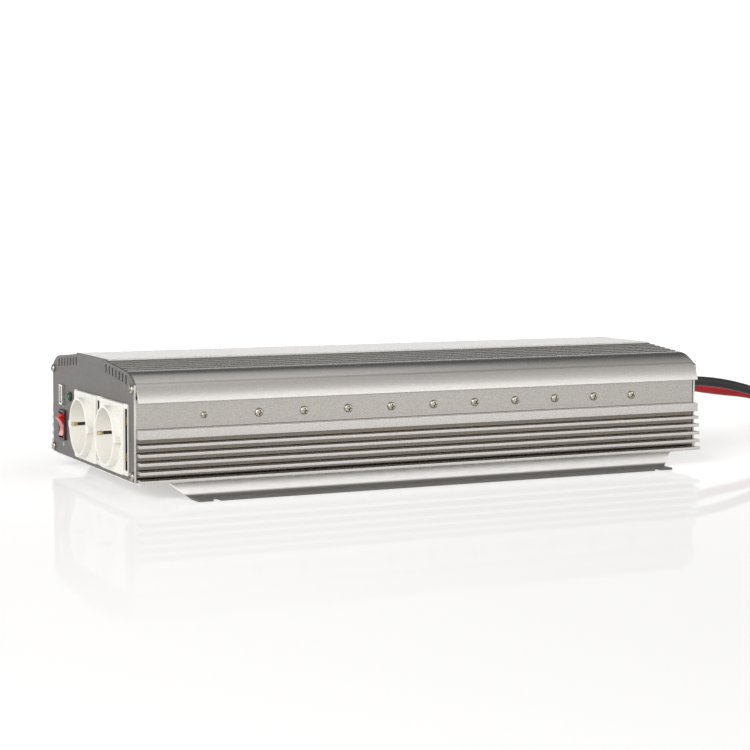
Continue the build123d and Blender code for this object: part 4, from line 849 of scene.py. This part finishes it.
# Piece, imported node, axis that the heads point along, seat's distance from the middle, way that they
# point (0: each to its own side), head radius and height, shank radius and length, seed, shift along X.
SCREW_SETS = (
    ("front_screws", "front_panel_screws", 0, -FRONT_FACE, -1, 3.1, 2.2, 1.45, 10.0, 3, 0.0),
    ("rear_screws", "rear_panel_screws", 0, REAR_FACE, 1, 3.1, 2.2, 1.45, 10.0, 4, 0.0),
    ("wall_screws", "clamp_screws", 1, WALL_HALF, 0, 3.1, 1.98, 1.45, 11.8, 8, 0.0),
    ("wall_small_screws", "small_side_screws", 1, WALL_HALF, 0, 2.3, 1.98, 1.2, 6.0, 5, 0.0),
    ("under_screws", "base_screws", 2, FLOOR_GAP - SHEET, -1, 3.1, 1.76, 1.45, 7.5, 6, 0.0),
    ("guard_screws", "fan_screws", 0, REAR_FACE, 1, 3.1, 2.2, 1.45, 19.3, 7, 1.8),
)


def solid_boxes(name):
    """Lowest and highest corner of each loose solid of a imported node."""
    bm = opened(frame["nodes"][name].data)
    bmesh.ops.remove_doubles(bm, verts=bm.verts, dist=CAD_WELD)
    bm.verts.ensure_lookup_table()
    seen, found = set(), []
    for first in bm.verts:
        if first.index in seen:
            continue
        queue, low, high = [first], first.co, first.co
        seen.add(first.index)
        while queue:
            vert = queue.pop()
            low, high = Vector(map(min, low, vert.co)), Vector(map(max, high, vert.co))
            others = [edge.other_vert(vert) for edge in vert.link_edges]
            fresh = [other for other in others if other.index not in seen]
            seen.update(other.index for other in fresh)
            queue += fresh
        found.append((low / MM, high / MM))
    bm.free()
    return found


def screw_set(name, node_name, axis, level, way, head_r, head_t, shank_r, long, seed, along):
    places = []
    for low, high in solid_boxes(node_name):
        place = [(a + b) / 2 for a, b in zip(low, high)]
        place[axis] = copysign(level, place[axis])
        places.append([round(c, 3) for c in place])
    places.sort()
    base = from_points([(x + along, y, z) for x, y, z in places])
    facings = []
    for place in places:
        facing = [0, 0, 0]
        facing[axis] = way or copysign(1, place[axis])
        facings += facing
    base.attributes.new("facing", "FLOAT_VECTOR", "POINT").data.foreach_set("vector", facings)
    mesh = SCREWS.run(base, "screw_nickel", Head=HEAD, Head_radius=head_r * MM, Head_height=head_t * MM,
                      Shank_radius=shank_r * MM, Shank_length=long * MM, Turn_seed=seed)
    piece(name, mesh, "screw_nickel", [node_name])


for screws in SCREW_SETS:
    screw_set(*screws)


# ---- case ----
def roof_height(half):
    """Height of the ribbed flank at a distance from the middle plane."""
    share = (half - CROWN_HALF) / (FLANK_HALF - CROWN_HALF)
    return TOP - CROWN_STEP - share * (FLANK_DROP - CROWN_STEP)


def shoulder_arc(radius, low, steps=18):
    """Points of the shoulder from a height up to the flank."""
    start = asin((low - SHOULDER_Z) / radius)
    turns = [start + (pi / 2 - start) * i / steps for i in range(steps + 1)]
    return [(FLANK_HALF + radius * cos(a), SHOULDER_Z + radius * sin(a), 0) for a in turns]


def case_outline():
    """Whole section of the extrusion: fins, band, channel, shoulder and ribbed flank, then the inside."""
    right = [(INNER_HALF - FLANGE_W, FLOOR_GAP, 0.3)]
    for i in reversed(range(FIN_COUNT)):
        tip, low = FIN_TIP_HALF + i * FIN_TIP_GROWTH, BAND_Z - (i + 1) * FIN_PITCH
        if i < FIN_COUNT - 1:
            right.append((WALL_HALF, low, 0.5))
        right += [(tip, low, 0.45), (tip, low + FIN_T, 0.45), (WALL_HALF, low + FIN_T, 0.5)]
    right += [(WALL_HALF, BAND_Z, 0.5), (BAND_HALF, BAND_Z, 0.5), (BAND_HALF, BAND_Z + BAND_TALL, 0.5)]
    right += [(WALL_HALF, BAND_Z + BAND_TALL, 0.6), (WALL_HALF, LIP_Z, 0.6)]
    arc = shoulder_arc(SHOULDER_R, LIP_Z)
    right += [(arc[0][0], LIP_Z, 0.5), *arc[1:]]
    pitch = (FLANK_HALF - CROWN_HALF) / RIB_COUNT
    for i in reversed(range(RIB_COUNT)):
        groove = CROWN_HALF + (i + 0.5) * pitch
        outer, inner, floor = groove + GROOVE_W / 2, groove - GROOVE_W / 2, roof_height(groove) - GROOVE_DEEP
        right += [(outer, roof_height(outer), 0.6), (outer, floor, 0.6), (inner, floor, 0.6),
                  (inner, roof_height(inner), 0.6)]
    right += [(CROWN_HALF, TOP - CROWN_STEP, 0.25), (CROWN_HALF, TOP, 0.35)]
    inside = [(CROWN_HALF, TOP - SKIN, 0), *reversed(shoulder_arc(SHOULDER_R - SKIN, LIP_Z + SKIN, 10))]
    inside += [(INNER_HALF, LIP_Z + SKIN, 0.3), (INNER_HALF, FLOOR_GAP + FLANGE_T, 0.3)]
    inside.append((INNER_HALF - FLANGE_W, FLOOR_GAP + FLANGE_T, 0.3))
    return rounded([*right, *mirrored(right), *mirrored(inside), *inside])


def case_shell():
    parts = [plate([case_outline()], (CASE_FRONT, CASE_REAR), 0.2)]
    front, rear = CASE_FRONT + 0.3, CASE_REAR - 0.3
    walls = [(front, PORT_HOLE_R), (front, PORT_R), (rear, PORT_R), (rear, PORT_HOLE_R)]
    for side in SIDES:
        parts += [smooth(moved(lathe(walls, 24, ring=True), 0, side * PORT_Y, z)) for z in PORT_ZS]
    piece("case_shell", merged(parts), "anodised_case", ["case_extrusion"])


case_shell()


# ---- panels ----
def panel_outline(drop=0.0):
    """Outline of an end panel; its top may sit a little below the roof."""
    rise = sqrt(SHOULDER_R**2 - (PANEL_HALF - FLANK_HALF) ** 2)
    right = [(PANEL_HALF, FLOOR_GAP, 0.8)]
    right += [(y, z - drop, 0) for y, z, _ in shoulder_arc(SHOULDER_R, SHOULDER_Z + rise)]
    right += [(CROWN_HALF, TOP - CROWN_STEP - drop, 0), (CROWN_HALF, TOP - drop, 0)]
    return rounded([*right, *mirrored(right)])


def vent_slots():
    slots = []
    for side in SIDES:
        for i in range(VENT_COUNT):
            half = VENT_FIRST + i * VENT_PITCH
            top, y = roof_height(half), side * half
            span = (top - VENT_LOW, top - VENT_HIGH)
            slots.append(rounded_rect((y - VENT_W / 2, y + VENT_W / 2), span, 0.45, 3))
    return slots


def window(name, gap, radius):
    """Opening round a node where it passes the front panel."""
    low, high = corners(name)
    return rounded_rect((low.y - gap, high.y + gap), (low.z - gap, high.z + gap), radius)


def front_plate():
    low, high, gap = corners("outlet_housing_near")[0], corners("outlet_housing_far")[1], 0.2
    outlets = rounded_rect((low.y - gap, high.y + gap), (low.z - gap, low.z + BLOCK_H + gap), 0.4)
    small = [window("switch_body", -1.0, 0.5), window("usb_tongue", 2.0, 0.3), window("lamp", gap, 2.6)]
    mesh = plate([panel_outline(), *vent_slots(), outlets, *small], (FRONT_FACE, CASE_FRONT), 0.18)
    piece("front_plate", mesh, "panel_paint", ["front_panel"])


def rear_plate():
    fans = [middle(f"fan_frame_{name}") for name in ENDS]
    holes = [circle(fan.y, fan.z, FAN_BORE_R) for fan in fans]
    holes += [circle(side * LEAD_Y, LEAD_Z, RELIEF_NECK_R + 0.1, 40) for side in SIDES]
    holes.append(circle(0, middle("earth_stud").z, STUD_R + 0.2, 24))
    mesh = plate([panel_outline(1.2), *holes], (CASE_REAR, REAR_FACE), 0.18)
    piece("rear_plate", mesh, "panel_paint", ["rear_panel"])


front_plate()
rear_plate()


# ---- base plate ----
def wing_path():
    """Upper face of a wing across its width: flat, down the web and out along the foot."""
    line = [(ROOT_HALF, BASE_TOP, 0), (WEB_TOP_HALF, BASE_TOP, 2.2), (WEB_FOOT_HALF, SHEET, 2.0)]
    line += [(FOOT_HALF, SHEET, 0), (FOOT_HALF, 400.0, 0), (ROOT_HALF, 400.0, 0)]
    return [Vector(p) for p in rounded(line, 5)[:-2]]


def wing(side):
    """One bent side of the base: a flat pattern with its notches, folded along the wing's path."""
    path = wing_path()
    stations = [0.0]
    for one, two in zip(path, path[1:]):
        stations.append(stations[-1] + (two - one).length)
    width = stations[-1]
    web_end = next(s for s, p in zip(stations, path) if p.x > WEB_FOOT_HALF - 1.2)
    notch, deep = FOOT_INSET + NOTCH_INSET, width - NOTCH_DEEP
    half = [(1.0, 0, 0), (1.0, 5.0, 1.0), (WEB_INSET - 1.5, 6.2, 2.0), (FOOT_INSET, web_end + 1.5, 2.0),
            (FOOT_INSET, width, 1.2), (notch - NOTCH_W / 2, width, 0.5), (notch - NOTCH_W / 2, deep, NOTCH_R),
            (notch + NOTCH_W / 2, deep, NOTCH_R), (notch + NOTCH_W / 2, width, 0.5)]
    outline = [(CASE_FRONT + x, s, r) for x, s, r in half]
    outline += [(CASE_REAR - x, s, r) for x, s, r in reversed(half)]
    bm = bmesh.new()
    bm.faces.new([bm.verts.new((x, s, 0)) for x, s in rounded(outline, 5)])
    for s in stations[1:-1]:
        everything = [*bm.verts, *bm.edges, *bm.faces]
        bmesh.ops.bisect_plane(bm, geom=everything, dist=1e-5, plane_co=(0, s, 0), plane_no=(0, 1, 0))
    for vert in bm.verts:
        s = min(max(vert.co.y, 0.0), width)
        i = max(k for k in range(len(stations) - 1) if stations[k] <= s + 1e-6)
        place = path[i].lerp(path[i + 1], (s - stations[i]) / (stations[i + 1] - stations[i]))
        vert.co = Vector((vert.co.x, side * place.x, place.y)) * MM
    for face in bm.faces:
        face.normal_update()
        if face.normal.z < 0:
            face.normal_flip()
    return bevelled(thickened(closed(bm), SHEET, offset=-1.0, use_even_offset=True), 0.18, 2, 50.0)


flat = block((CASE_FRONT, CASE_REAR), (-ROOT_HALF - 1, ROOT_HALF + 1), (FLOOR_GAP - SHEET, BASE_TOP), 0.2)
piece("base_tray", merged([flat, wing(-1), wing(1)]), "base_sheet", ["base_plate"])


# ---- outlets ----
def outlet(name):
    """Earthed outlet: plate, square block, bridging bars, and a round recess with its pin holes."""
    low, high = corners(f"outlet_housing_{name}")
    y, z = (low.y + high.y) / 2, low.z + BLOCK_H / 2
    rim, rear = low.x, high.x
    face, floor = FRONT_FACE - BLOCK_PROUD, rim + RECESS_DEEP
    half_w, half_h = BLOCK_W / 2, BLOCK_H / 2
    tall = (z - half_h, z + half_h)
    bore = circle(y, z, RING_R - 0.7, 72)
    slots = [rounded_rect((y + way * (half_w + 0.05), y + way * (half_w + 4.9)), (z - 21.6, z + 21.6), 0.5, 3)
             for way in SIDES]
    flat = rounded_rect((y - PLATE_W / 2, y + PLATE_W / 2), tall, 0.8)
    body = rounded_rect((y - half_w, y + half_w), tall, 2.2)
    cup = [(rim + 0.9, RING_R), (rim + 0.25, RING_R - 0.25), (rim, RING_R - 0.8), (rim, RECESS_R + 0.7),
           (rim + 0.2, RECESS_R + 0.2), (rim + 0.7, RECESS_R), (floor - 1.2, RECESS_R - 0.15),
           (floor - 0.3, RECESS_R - 0.5), (floor, RECESS_R - 1.3), (floor, 0.0)]
    hole = [(floor - 1, 0), (floor - 1, 3.5), (floor - 0.01, 3.2), (floor + 0.6, PIN_R), (rear + 1, PIN_R),
            (rear + 1, 0)]
    tools = []
    for way in SIDES:
        tools.append(moved(lathe(hole, 32), 0, 0, way * PIN_Y))
        ends = (way * (RECESS_R - 1.2), way * (RECESS_R + 1.7))
        tools.append(block((rim + 1.6, floor - 0.8), ends, (-1.25, 1.25)))
    well = mesh_of(opened(cut(lathe([(rear, 0.0), (rear, RING_R), *cup], 96), *tools)))
    parts = [
        plate([flat, bore, *slots], (FRONT_FACE - PLATE_PROUD, CASE_FRONT + 1.4), 0.12),
        plate([body, bore], (face, rear), 1.0, 4),
        smooth(moved(well, 0, y, z), 32),
    ]
    for way in SIDES:
        ends = (y + way * (RING_R - 0.9), y + way * (half_w - 1.5))
        parts.append(block((rim + 0.3, face + 1.5), ends, (z - 2.65, z + 2.65), 0.6, 3))
        ends = (z + way * (RECESS_R - 2.2), z + way * (RECESS_R + 0.6))
        parts.append(block((rim + 3.0, floor + 0.5), (y - 2.3, y + 2.3), ends, 0.5, 3))
    screw_seat = [(floor - 0.6, 0), (floor - 0.6, 3.0), (floor - 0.3, 3.4), (floor + 0.2, 3.4),
                  (floor + 0.2, 0)]
    parts.append(smooth(moved(lathe(screw_seat, 40), 0, y, z)))
    piece(f"outlet_{name}", merged(parts), "outlet_cream", [f"outlet_housing_{name}"])


def outlet_metal(name):
    """Earth clips at the recess's rim, contacts in the side slots, and black sheets of painted shade behind
    both.
    """
    low, high = corners(f"outlet_housing_{name}")
    y, z, rim, half = (low.y + high.y) / 2, low.z + BLOCK_H / 2, low.x, BLOCK_W / 2
    front, back = FRONT_FACE - PLATE_PROUD + 0.15, CASE_FRONT + 2.3
    clips, shade_sheets, contacts = [], [], []
    path = [(rim + 2.0, RECESS_R + 1.3), (rim + 2.0, RECESS_R - 0.5), (rim + 3.4, RECESS_R - 1.1),
            (rim + 5.2, RECESS_R - 0.8), (rim + 6.2, RECESS_R + 1.2)]
    for way in SIDES:
        points = [(x, way * r, side * 0.95) for x, r in path for side in SIDES]
        faces = [(2 * i, 2 * i + 1, 2 * i + 3, 2 * i + 2) for i in range(len(path) - 1)]
        clips.append(bevelled(thickened(from_points(points, (), faces), 0.4, offset=0.0), 0.08))
        # black sheets of painted shade in the slot of the recess wall, behind each clip
        for x, (inner, outer) in (
            ((rim + 6.7, rim + RECESS_DEEP - 0.75), (0.9, 1.72)),
            ((rim + 1.5, rim + 6.8), (1.5, 1.72)),
        ):
            shade_sheets.append(block(x, (way * (RECESS_R + inner), way * (RECESS_R + outer)), (-1.3, 1.3), 0.05))
    for way in SIDES:
        for parts, x, (inner, outer), z_span, edge in (
            # black sheets of painted shade behind and along the side slots
            (shade_sheets, (back - 0.8, back), (0.1, 5.1), (-22.2, 22.2), 0.2),
            (shade_sheets, (front, back - 0.9), (0.03, 0.55), (-21.5, 21.5), 0.1),
            (contacts, (front + 0.5, back - 1.0), (0.56, 1.0), (-14.6, -9.4), 0.12),
            (contacts, (front + 0.5, back - 1.0), (0.56, 1.0), (10.4, 15.6), 0.12),
        ):
            parts.append(block(x, (way * (half + inner), way * (half + outer)), z_span, edge))
    for kind, parts, slot, stands_for in (
        ("earth_springs", clips, "contact_brass", [f"earth_clips_{name}"]),
        # these black sheets are painted shade, where the slots are dark
        ("slot_linings", shade_sheets, "switch_black", ()),
        ("slot_contacts", contacts, "contact_brass", ()),
    ):
        piece(f"{kind}_{name}", moved(merged(parts), 0, y, z), slot, stands_for)


for end in ENDS:
    outlet(end)
    outlet_metal(end)
piece("terminal_blocks", softened("side_terminals", 0.35, 3), "contact_brass", ["side_terminals"])


# ---- switch, USB outlet and lamp ----
def switch_and_marks():
    piece("switch_housing", softened("switch_body", 0.3, 3), "switch_black", ["switch_body"])
    piece("rocker_key", softened("rocker", 0.45, 3), "rocker_red", ["rocker"], body="rocker")
    low, high = corners("switch_body")
    y, x = (low.y + high.y) / 2, (FRONT_FACE - MARK_THIN, FRONT_FACE + 0.05)
    on_z, off_z = high.z + MARK_GAP, low.z - MARK_GAP
    line = block(x, (y - 0.28, y + 0.28), (on_z - 1.4, on_z + 1.4), 0.02)
    ring = plate([circle(y, off_z, 1.45, 40), circle(y, off_z, 1.0, 40)], x, 0.015, 1)
    piece("switch_marks", merged([line, ring]), "usb_insert", ink="mark_ink")


def usb_outlet():
    """Bright shell with a rolled mouth, a white tongue, and four gilt contacts along it."""
    piece("usb_mouth", softened("usb_shell", 0.12), "usb_steel", ["usb_shell"])
    piece("usb_blade", softened("usb_tongue", 0.2), "usb_insert", ["usb_tongue"])
    low, high = corners("usb_tongue")
    x, y = (low.x + 0.5, high.x - 1.0), (low.y - 0.12, low.y + 0.1)
    places = [low.z + (high.z - low.z) * (i + 0.5) / 4 for i in range(4)]
    strips = [block(x, y, (z - 0.55, z + 0.55), 0.05) for z in places]
    piece("usb_contacts", merged(strips), "contact_brass")


def indicator():
    """Domed lens in a turned collar."""
    low, high = corners("lamp")
    y, z, r = (low.y + high.y) / 2, (low.z + high.z) / 2, (high.z - low.z) / 2
    arc = [(low.x + r - r * sin(a), r * cos(a)) for a in [pi / 2 * i / 12 for i in range(12)]]
    lens = lathe([(high.x, 0.0), (high.x, r), *arc, (low.x, 0.0)], 48)
    piece("lamp_lens", smooth(moved(lens, 0, y, z)), "lamp_green", ["lamp"])
    ring_low, ring_high = corners("lamp_ring")
    outer, x0, x1 = (ring_high.z - ring_low.z) / 2, ring_low.x, ring_high.x
    collar = [(x1, outer), (x0 + 0.5, outer), (x0 + 0.12, outer - 0.2), (x0, outer - 0.5),
              (x0 + 0.1, r + 0.4), (x0 + 0.5, r + 0.15), (x1, r + 0.15)]
    ring = smooth(moved(lathe(collar, 48, ring=True), 0, y, z))
    piece("lamp_collar_ring", ring, "lamp_collar", ["lamp_ring"])


switch_and_marks()
usb_outlet()
indicator()


# ---- fans ----
def fan_frame(name, y, z):
    """Square fan frame: two flanges, a round duct, corner bosses, and a four-armed motor mount."""
    low, high = corners(f"fan_frame_{name}")
    front, rear = low.x, high.x
    half = (high.y - low.y) / 2
    square, bore = rounded_rect((-half, half), (-half, half), 3.5), circle(0, 0, FAN_BORE_R, 80)
    places = [(dy * FAN_HOLE_HALF, dz * FAN_HOLE_HALF) for dy in SIDES for dz in SIDES]
    holes = [circle(*place, 1.9, 20) for place in places]
    parts = [plate([square, bore, *holes], span, 0.25) for span in ((front, front + 3.2), (rear - 3.2, rear))]
    duct = [(front + 1, FAN_BORE_R), (front + 1, half - 0.1), (rear - 1, half - 0.1), (rear - 1, FAN_BORE_R)]
    parts.append(smooth(lathe(duct, 80, ring=True)))
    boss = [(front + 1.5, 2.0), (front + 1.5, 3.6), (rear - 1.5, 3.6), (rear - 1.5, 2.0)]
    parts += [smooth(moved(lathe(boss, 24, ring=True), 0, *place)) for place in places]
    mount = [(front, 0.0), (front, FAN_HUB_R - 0.4), (front + 0.4, FAN_HUB_R), (front + 2.0, FAN_HUB_R),
             (front + 2.0, 3.2), (front + 9.0, 3.2), (front + 9.0, 1.55), (front + 1.2, 1.55),
             (front + 1.2, 0.0)]
    parts.append(smooth(lathe(mount, 56)))
    arm = block((front, front + 2.2), (-1.5, 1.5), (FAN_HUB_R - 1, FAN_BORE_R + 0.4), 0.4)
    parts.append(TURNED.run(turned(arm, 45), "fan_black", Count=4))
    piece(f"fan_housing_{name}", moved(merged(parts), 0, y, z), "fan_black", [f"fan_frame_{name}"])


def fan_blade(x_middle, rows=9, columns=8, depth=8.6):
    """Swept and twisted blade, from inside the hub to its tip."""
    bm = bmesh.new()
    grid = []
    for i in range(rows):
        share = i / (rows - 1)
        r = FAN_HUB_R - 0.8 + (FAN_TIP_R - FAN_HUB_R + 0.5) * share
        wrap, sweep = radians(46 - 10 * share), radians(16) * share**1.5
        trim = depth * (1 - 0.18 * share**3)
        line = []
        for j in range(columns):
            c = j / (columns - 1) - 0.5
            a = c * wrap + sweep
            x = x_middle + c * trim - 0.9 * (1 - 4 * c * c)
            line.append(bm.verts.new(Vector((x, r * sin(a), r * cos(a))) * MM))
        grid.append(line)
    skin(bm, grid)
    return bevelled(thickened(closed(bm), 1.1, offset=0.0, use_even_offset=True), 0.3, 2, 50.0)


def fan_rotor(name, y, z):
    low, high = corners(f"fan_rotor_{name}")
    front, rear = low.x + 1.0, high.x
    hub = [(rear - 0.35, 0.0), (rear - 0.35, 4.6), (rear, 5.0), (rear, FAN_HUB_R - 1.3),
           (rear - 0.35, FAN_HUB_R - 0.4), (rear - 1.2, FAN_HUB_R), (front + 0.3, FAN_HUB_R),
           (front, FAN_HUB_R - 0.2), (front, FAN_HUB_R - 1.5), (rear - 1.5, FAN_HUB_R - 1.5),
           (rear - 1.5, 0.0)]
    shaft = [(low.x, 0.0), (low.x, 1.3), (low.x + 0.2, 1.5), (rear - 0.5, 1.5), (rear - 0.5, 0.0)]
    blades = TURNED.run(fan_blade((front + rear) / 2), "fan_black", Count=FAN_BLADES)
    mesh = moved(merged([smooth(lathe(hub, 64)), smooth(lathe(shaft, 24)), blades]), 0, y, z)
    piece(f"fan_wheel_{name}", mesh, "fan_black", [f"fan_rotor_{name}"], body=f"fan_{name}")


def fan_guard(name, y, z):
    """Guard of round wire: rings welded to four arms, each arm ending in an eye for its screw."""
    x = REAR_FACE + 0.95
    rings = RINGS.run(from_points([]), "guard_wire", Count=GUARD_RINGS, First_radius=7.1 * MM,
                      Last_radius=25.1 * MM, Reach=0.0, Wire_radius=GUARD_WIRE_R * MM)
    reach = FAN_HOLE_HALF * sqrt(2)
    eye = [(x, -EYE_R * sin(a), reach - EYE_R * cos(a)) for a in (*around(20), FULL)]
    arm, _ = round_wire("wire", "POLY", [(x, 0, 6.5), (x, 0, reach - EYE_R - 0.3), *eye], GUARD_WIRE_R, 3)
    arms = TURNED.run(turned(taken_from(linked("holder", arm)), 45), "guard_wire", Count=4)
    mesh = moved(merged([moved(rings, x), arms]), 0, y, z)
    mesh.shade_smooth()
    piece(f"guard_{name}", mesh, "guard_wire", [f"fan_guard_{name}"])


for end in ENDS:
    fan = middle(f"fan_frame_{end}")
    for make in (fan_frame, fan_rotor, fan_guard):
        make(end, fan.y, fan.z)


# ---- earth stud ----
def threaded(start, end, pitch=0.8, deep=0.42, steps=28, per_turn=8):
    """Threaded rod along X, its ridge one helix."""
    rows = int((end - start) / pitch * per_turn)
    bm = bmesh.new()
    grid = []
    for i in range(rows + 1):
        x = start + (end - start) * i / rows
        fade = min(1.0, (end - x) / pitch, (x - start) / pitch + 0.2)
        line = []
        for j, a in enumerate(around(steps)):
            ridge = 1 - abs(2 * ((x / pitch - j / steps) % 1.0) - 1)
            r = STUD_R - deep * (1 - ridge * fade)
            line.append(bm.verts.new(Vector((x, r * cos(a), r * sin(a))) * MM))
        grid.append(line)
    skin(bm, grid, looped=True)
    bm.faces.new(grid[0])
    bm.faces.new(reversed(grid[-1]))
    return creased(mesh_of(bm), 50)


def hex_collar(x0, x1):
    """Six-sided collar with its corners turned away on a cone."""
    across = STUD_FLATS / sqrt(3)
    skirt = [(x0 - 1, 0), (x0 - 1, across + 2), (x1 + 1, across + 2), (x1 + 1, 0)]
    cone = [(x0 - 1, 0), (x0 - 1, across - 0.1), (x1 - 0.6, across - 0.1), (x1 + 0.1, across - 1.0),
            (x1 + 1, 0)]
    waste = cut(lathe(skirt, 48), lathe(cone, 48))
    return smooth(without_slivers(cut(plate([circle(0, 0, across, 6)], (x0, x1), 0.05, 1), waste)), 25)


def earth_point():
    low, high = corners("earth_stud")
    z, front, rear = (low.z + high.z) / 2, REAR_FACE, high.x - STUD_FREE
    parts = [threaded(rear - 0.5, high.x), threaded(low.x, front + 0.5), hex_collar(front, rear)]
    piece("earth_post", moved(merged(parts), 0, 0, z), "stud_brass", ["earth_stud"])
    washer = [(front + 0.05, 2.8), (front + 0.05, 5.2), (front + 0.75, 5.2), (front + 0.75, 2.8)]
    piece("earth_washer", bevelled(moved(lathe(washer, 48, ring=True), 0, 0, z), 0.12), "screw_nickel")


earth_point()

# ---- inside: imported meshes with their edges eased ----
piece("input_cans", softened("input_capacitors", 0.25), "can_sleeve", ["input_capacitors"])
piece("bulk_cans", softened("bulk_capacitors", 0.3), "can_sleeve", ["bulk_capacitors"])
piece("winding_packs", softened("transformer_windings", 0.5, 3), "winding_tape", ["transformer_windings"])

# ---- floor and light ----
# Shades of the sky along a turn over the object, from behind it (0) to in front of it (1).
SKY = [(0.0, 0.62), (0.12, 0.66), (0.30, 0.42), (0.52, 0.25), (0.72, 0.05), (0.84, 0.05), (0.90, 0.16),
       (1.0, 0.9)]
SKY_STRENGTH = 1.9
LIT_POINT = Vector((0.0, 0.0, 0.05))
# Place in metres, size and power of each soft light.
LIGHTS = {
    "front_box": ((-1.9, -1.5, 1.2), 1.6, 30.0),
    "side_box": ((0.9, -2.0, 0.75), 1.5, 2.5),
    "top_box": ((0.0, 0.4, 2.3), 2.6, 6.0),
}


def white_floor():
    """White, faintly glossy floor."""
    bm = bmesh.new()
    bmesh.ops.create_grid(bm, x_segments=1, y_segments=1, size=14.0)
    floor = linked("floor", mesh_of(bm))
    floor.data.materials.append(finish(
        "floor_sheet", (0.86, 0.86, 0.86), (0.85, 0.85, 0.85), (0.03, 0.05), grain=40.0, relief=0.0,
        drift=1.0, IOR=1.035, Emission_Color=(1, 1, 1, 1), Emission_Strength=0.20))


def sky():
    """World that is bright at the horizon behind the object and darkest high in front of it."""
    world = bpy.data.worlds.new("studio")
    world.use_nodes = True
    bpy.context.scene.world = world
    tree = world.node_tree
    way = node(tree, "ShaderNodeSeparateXYZ", {0: node(tree, "ShaderNodeTexCoord")["Generated"]})
    over = maths(tree, "ARCTAN2", way["Z"], maths(tree, "MULTIPLY", way["Y"], -1.0))
    shades = tree.nodes.new("ShaderNodeValToRGB")
    tree.links.new(maths(tree, "DIVIDE", over, pi), shades.inputs["Fac"])
    stops = shades.color_ramp.elements
    stops[0].position, stops[1].position = 0.0, 1.0
    for k, (position, shade) in enumerate(SKY):
        stop = stops[0] if k == 0 else stops[-1] if k == len(SKY) - 1 else stops.new(position)
        stop.color = (shade, shade * 0.99, shade * 0.975, 1)
    low = ramp(tree, way["Z"], 0.125, 0.15, True)
    behind = product(tree, ramp(tree, way["Z"], 0.10, 0.22, True), ramp(tree, way["Y"], 0.2, 0.6))
    level = mixed(tree, low, shades.outputs["Color"], (0.62, 0.62, 0.62))
    background = tree.nodes["Background"].inputs
    tree.links.new(mixed(tree, behind, level, (1.0, 1.0, 1.0)), background["Color"])
    background["Strength"].default_value = SKY_STRENGTH


def soft_lights():
    for name, (place, size, power) in LIGHTS.items():
        light = bpy.data.lights.new(name, "AREA")
        light.shape, light.size, light.energy = "DISK", size, power
        linked(name, light).matrix_world = pointed(Vector(place), LIT_POINT - Vector(place))


white_floor()
sky()
soft_lights()
bpy.context.scene.view_settings.view_transform = "Standard"
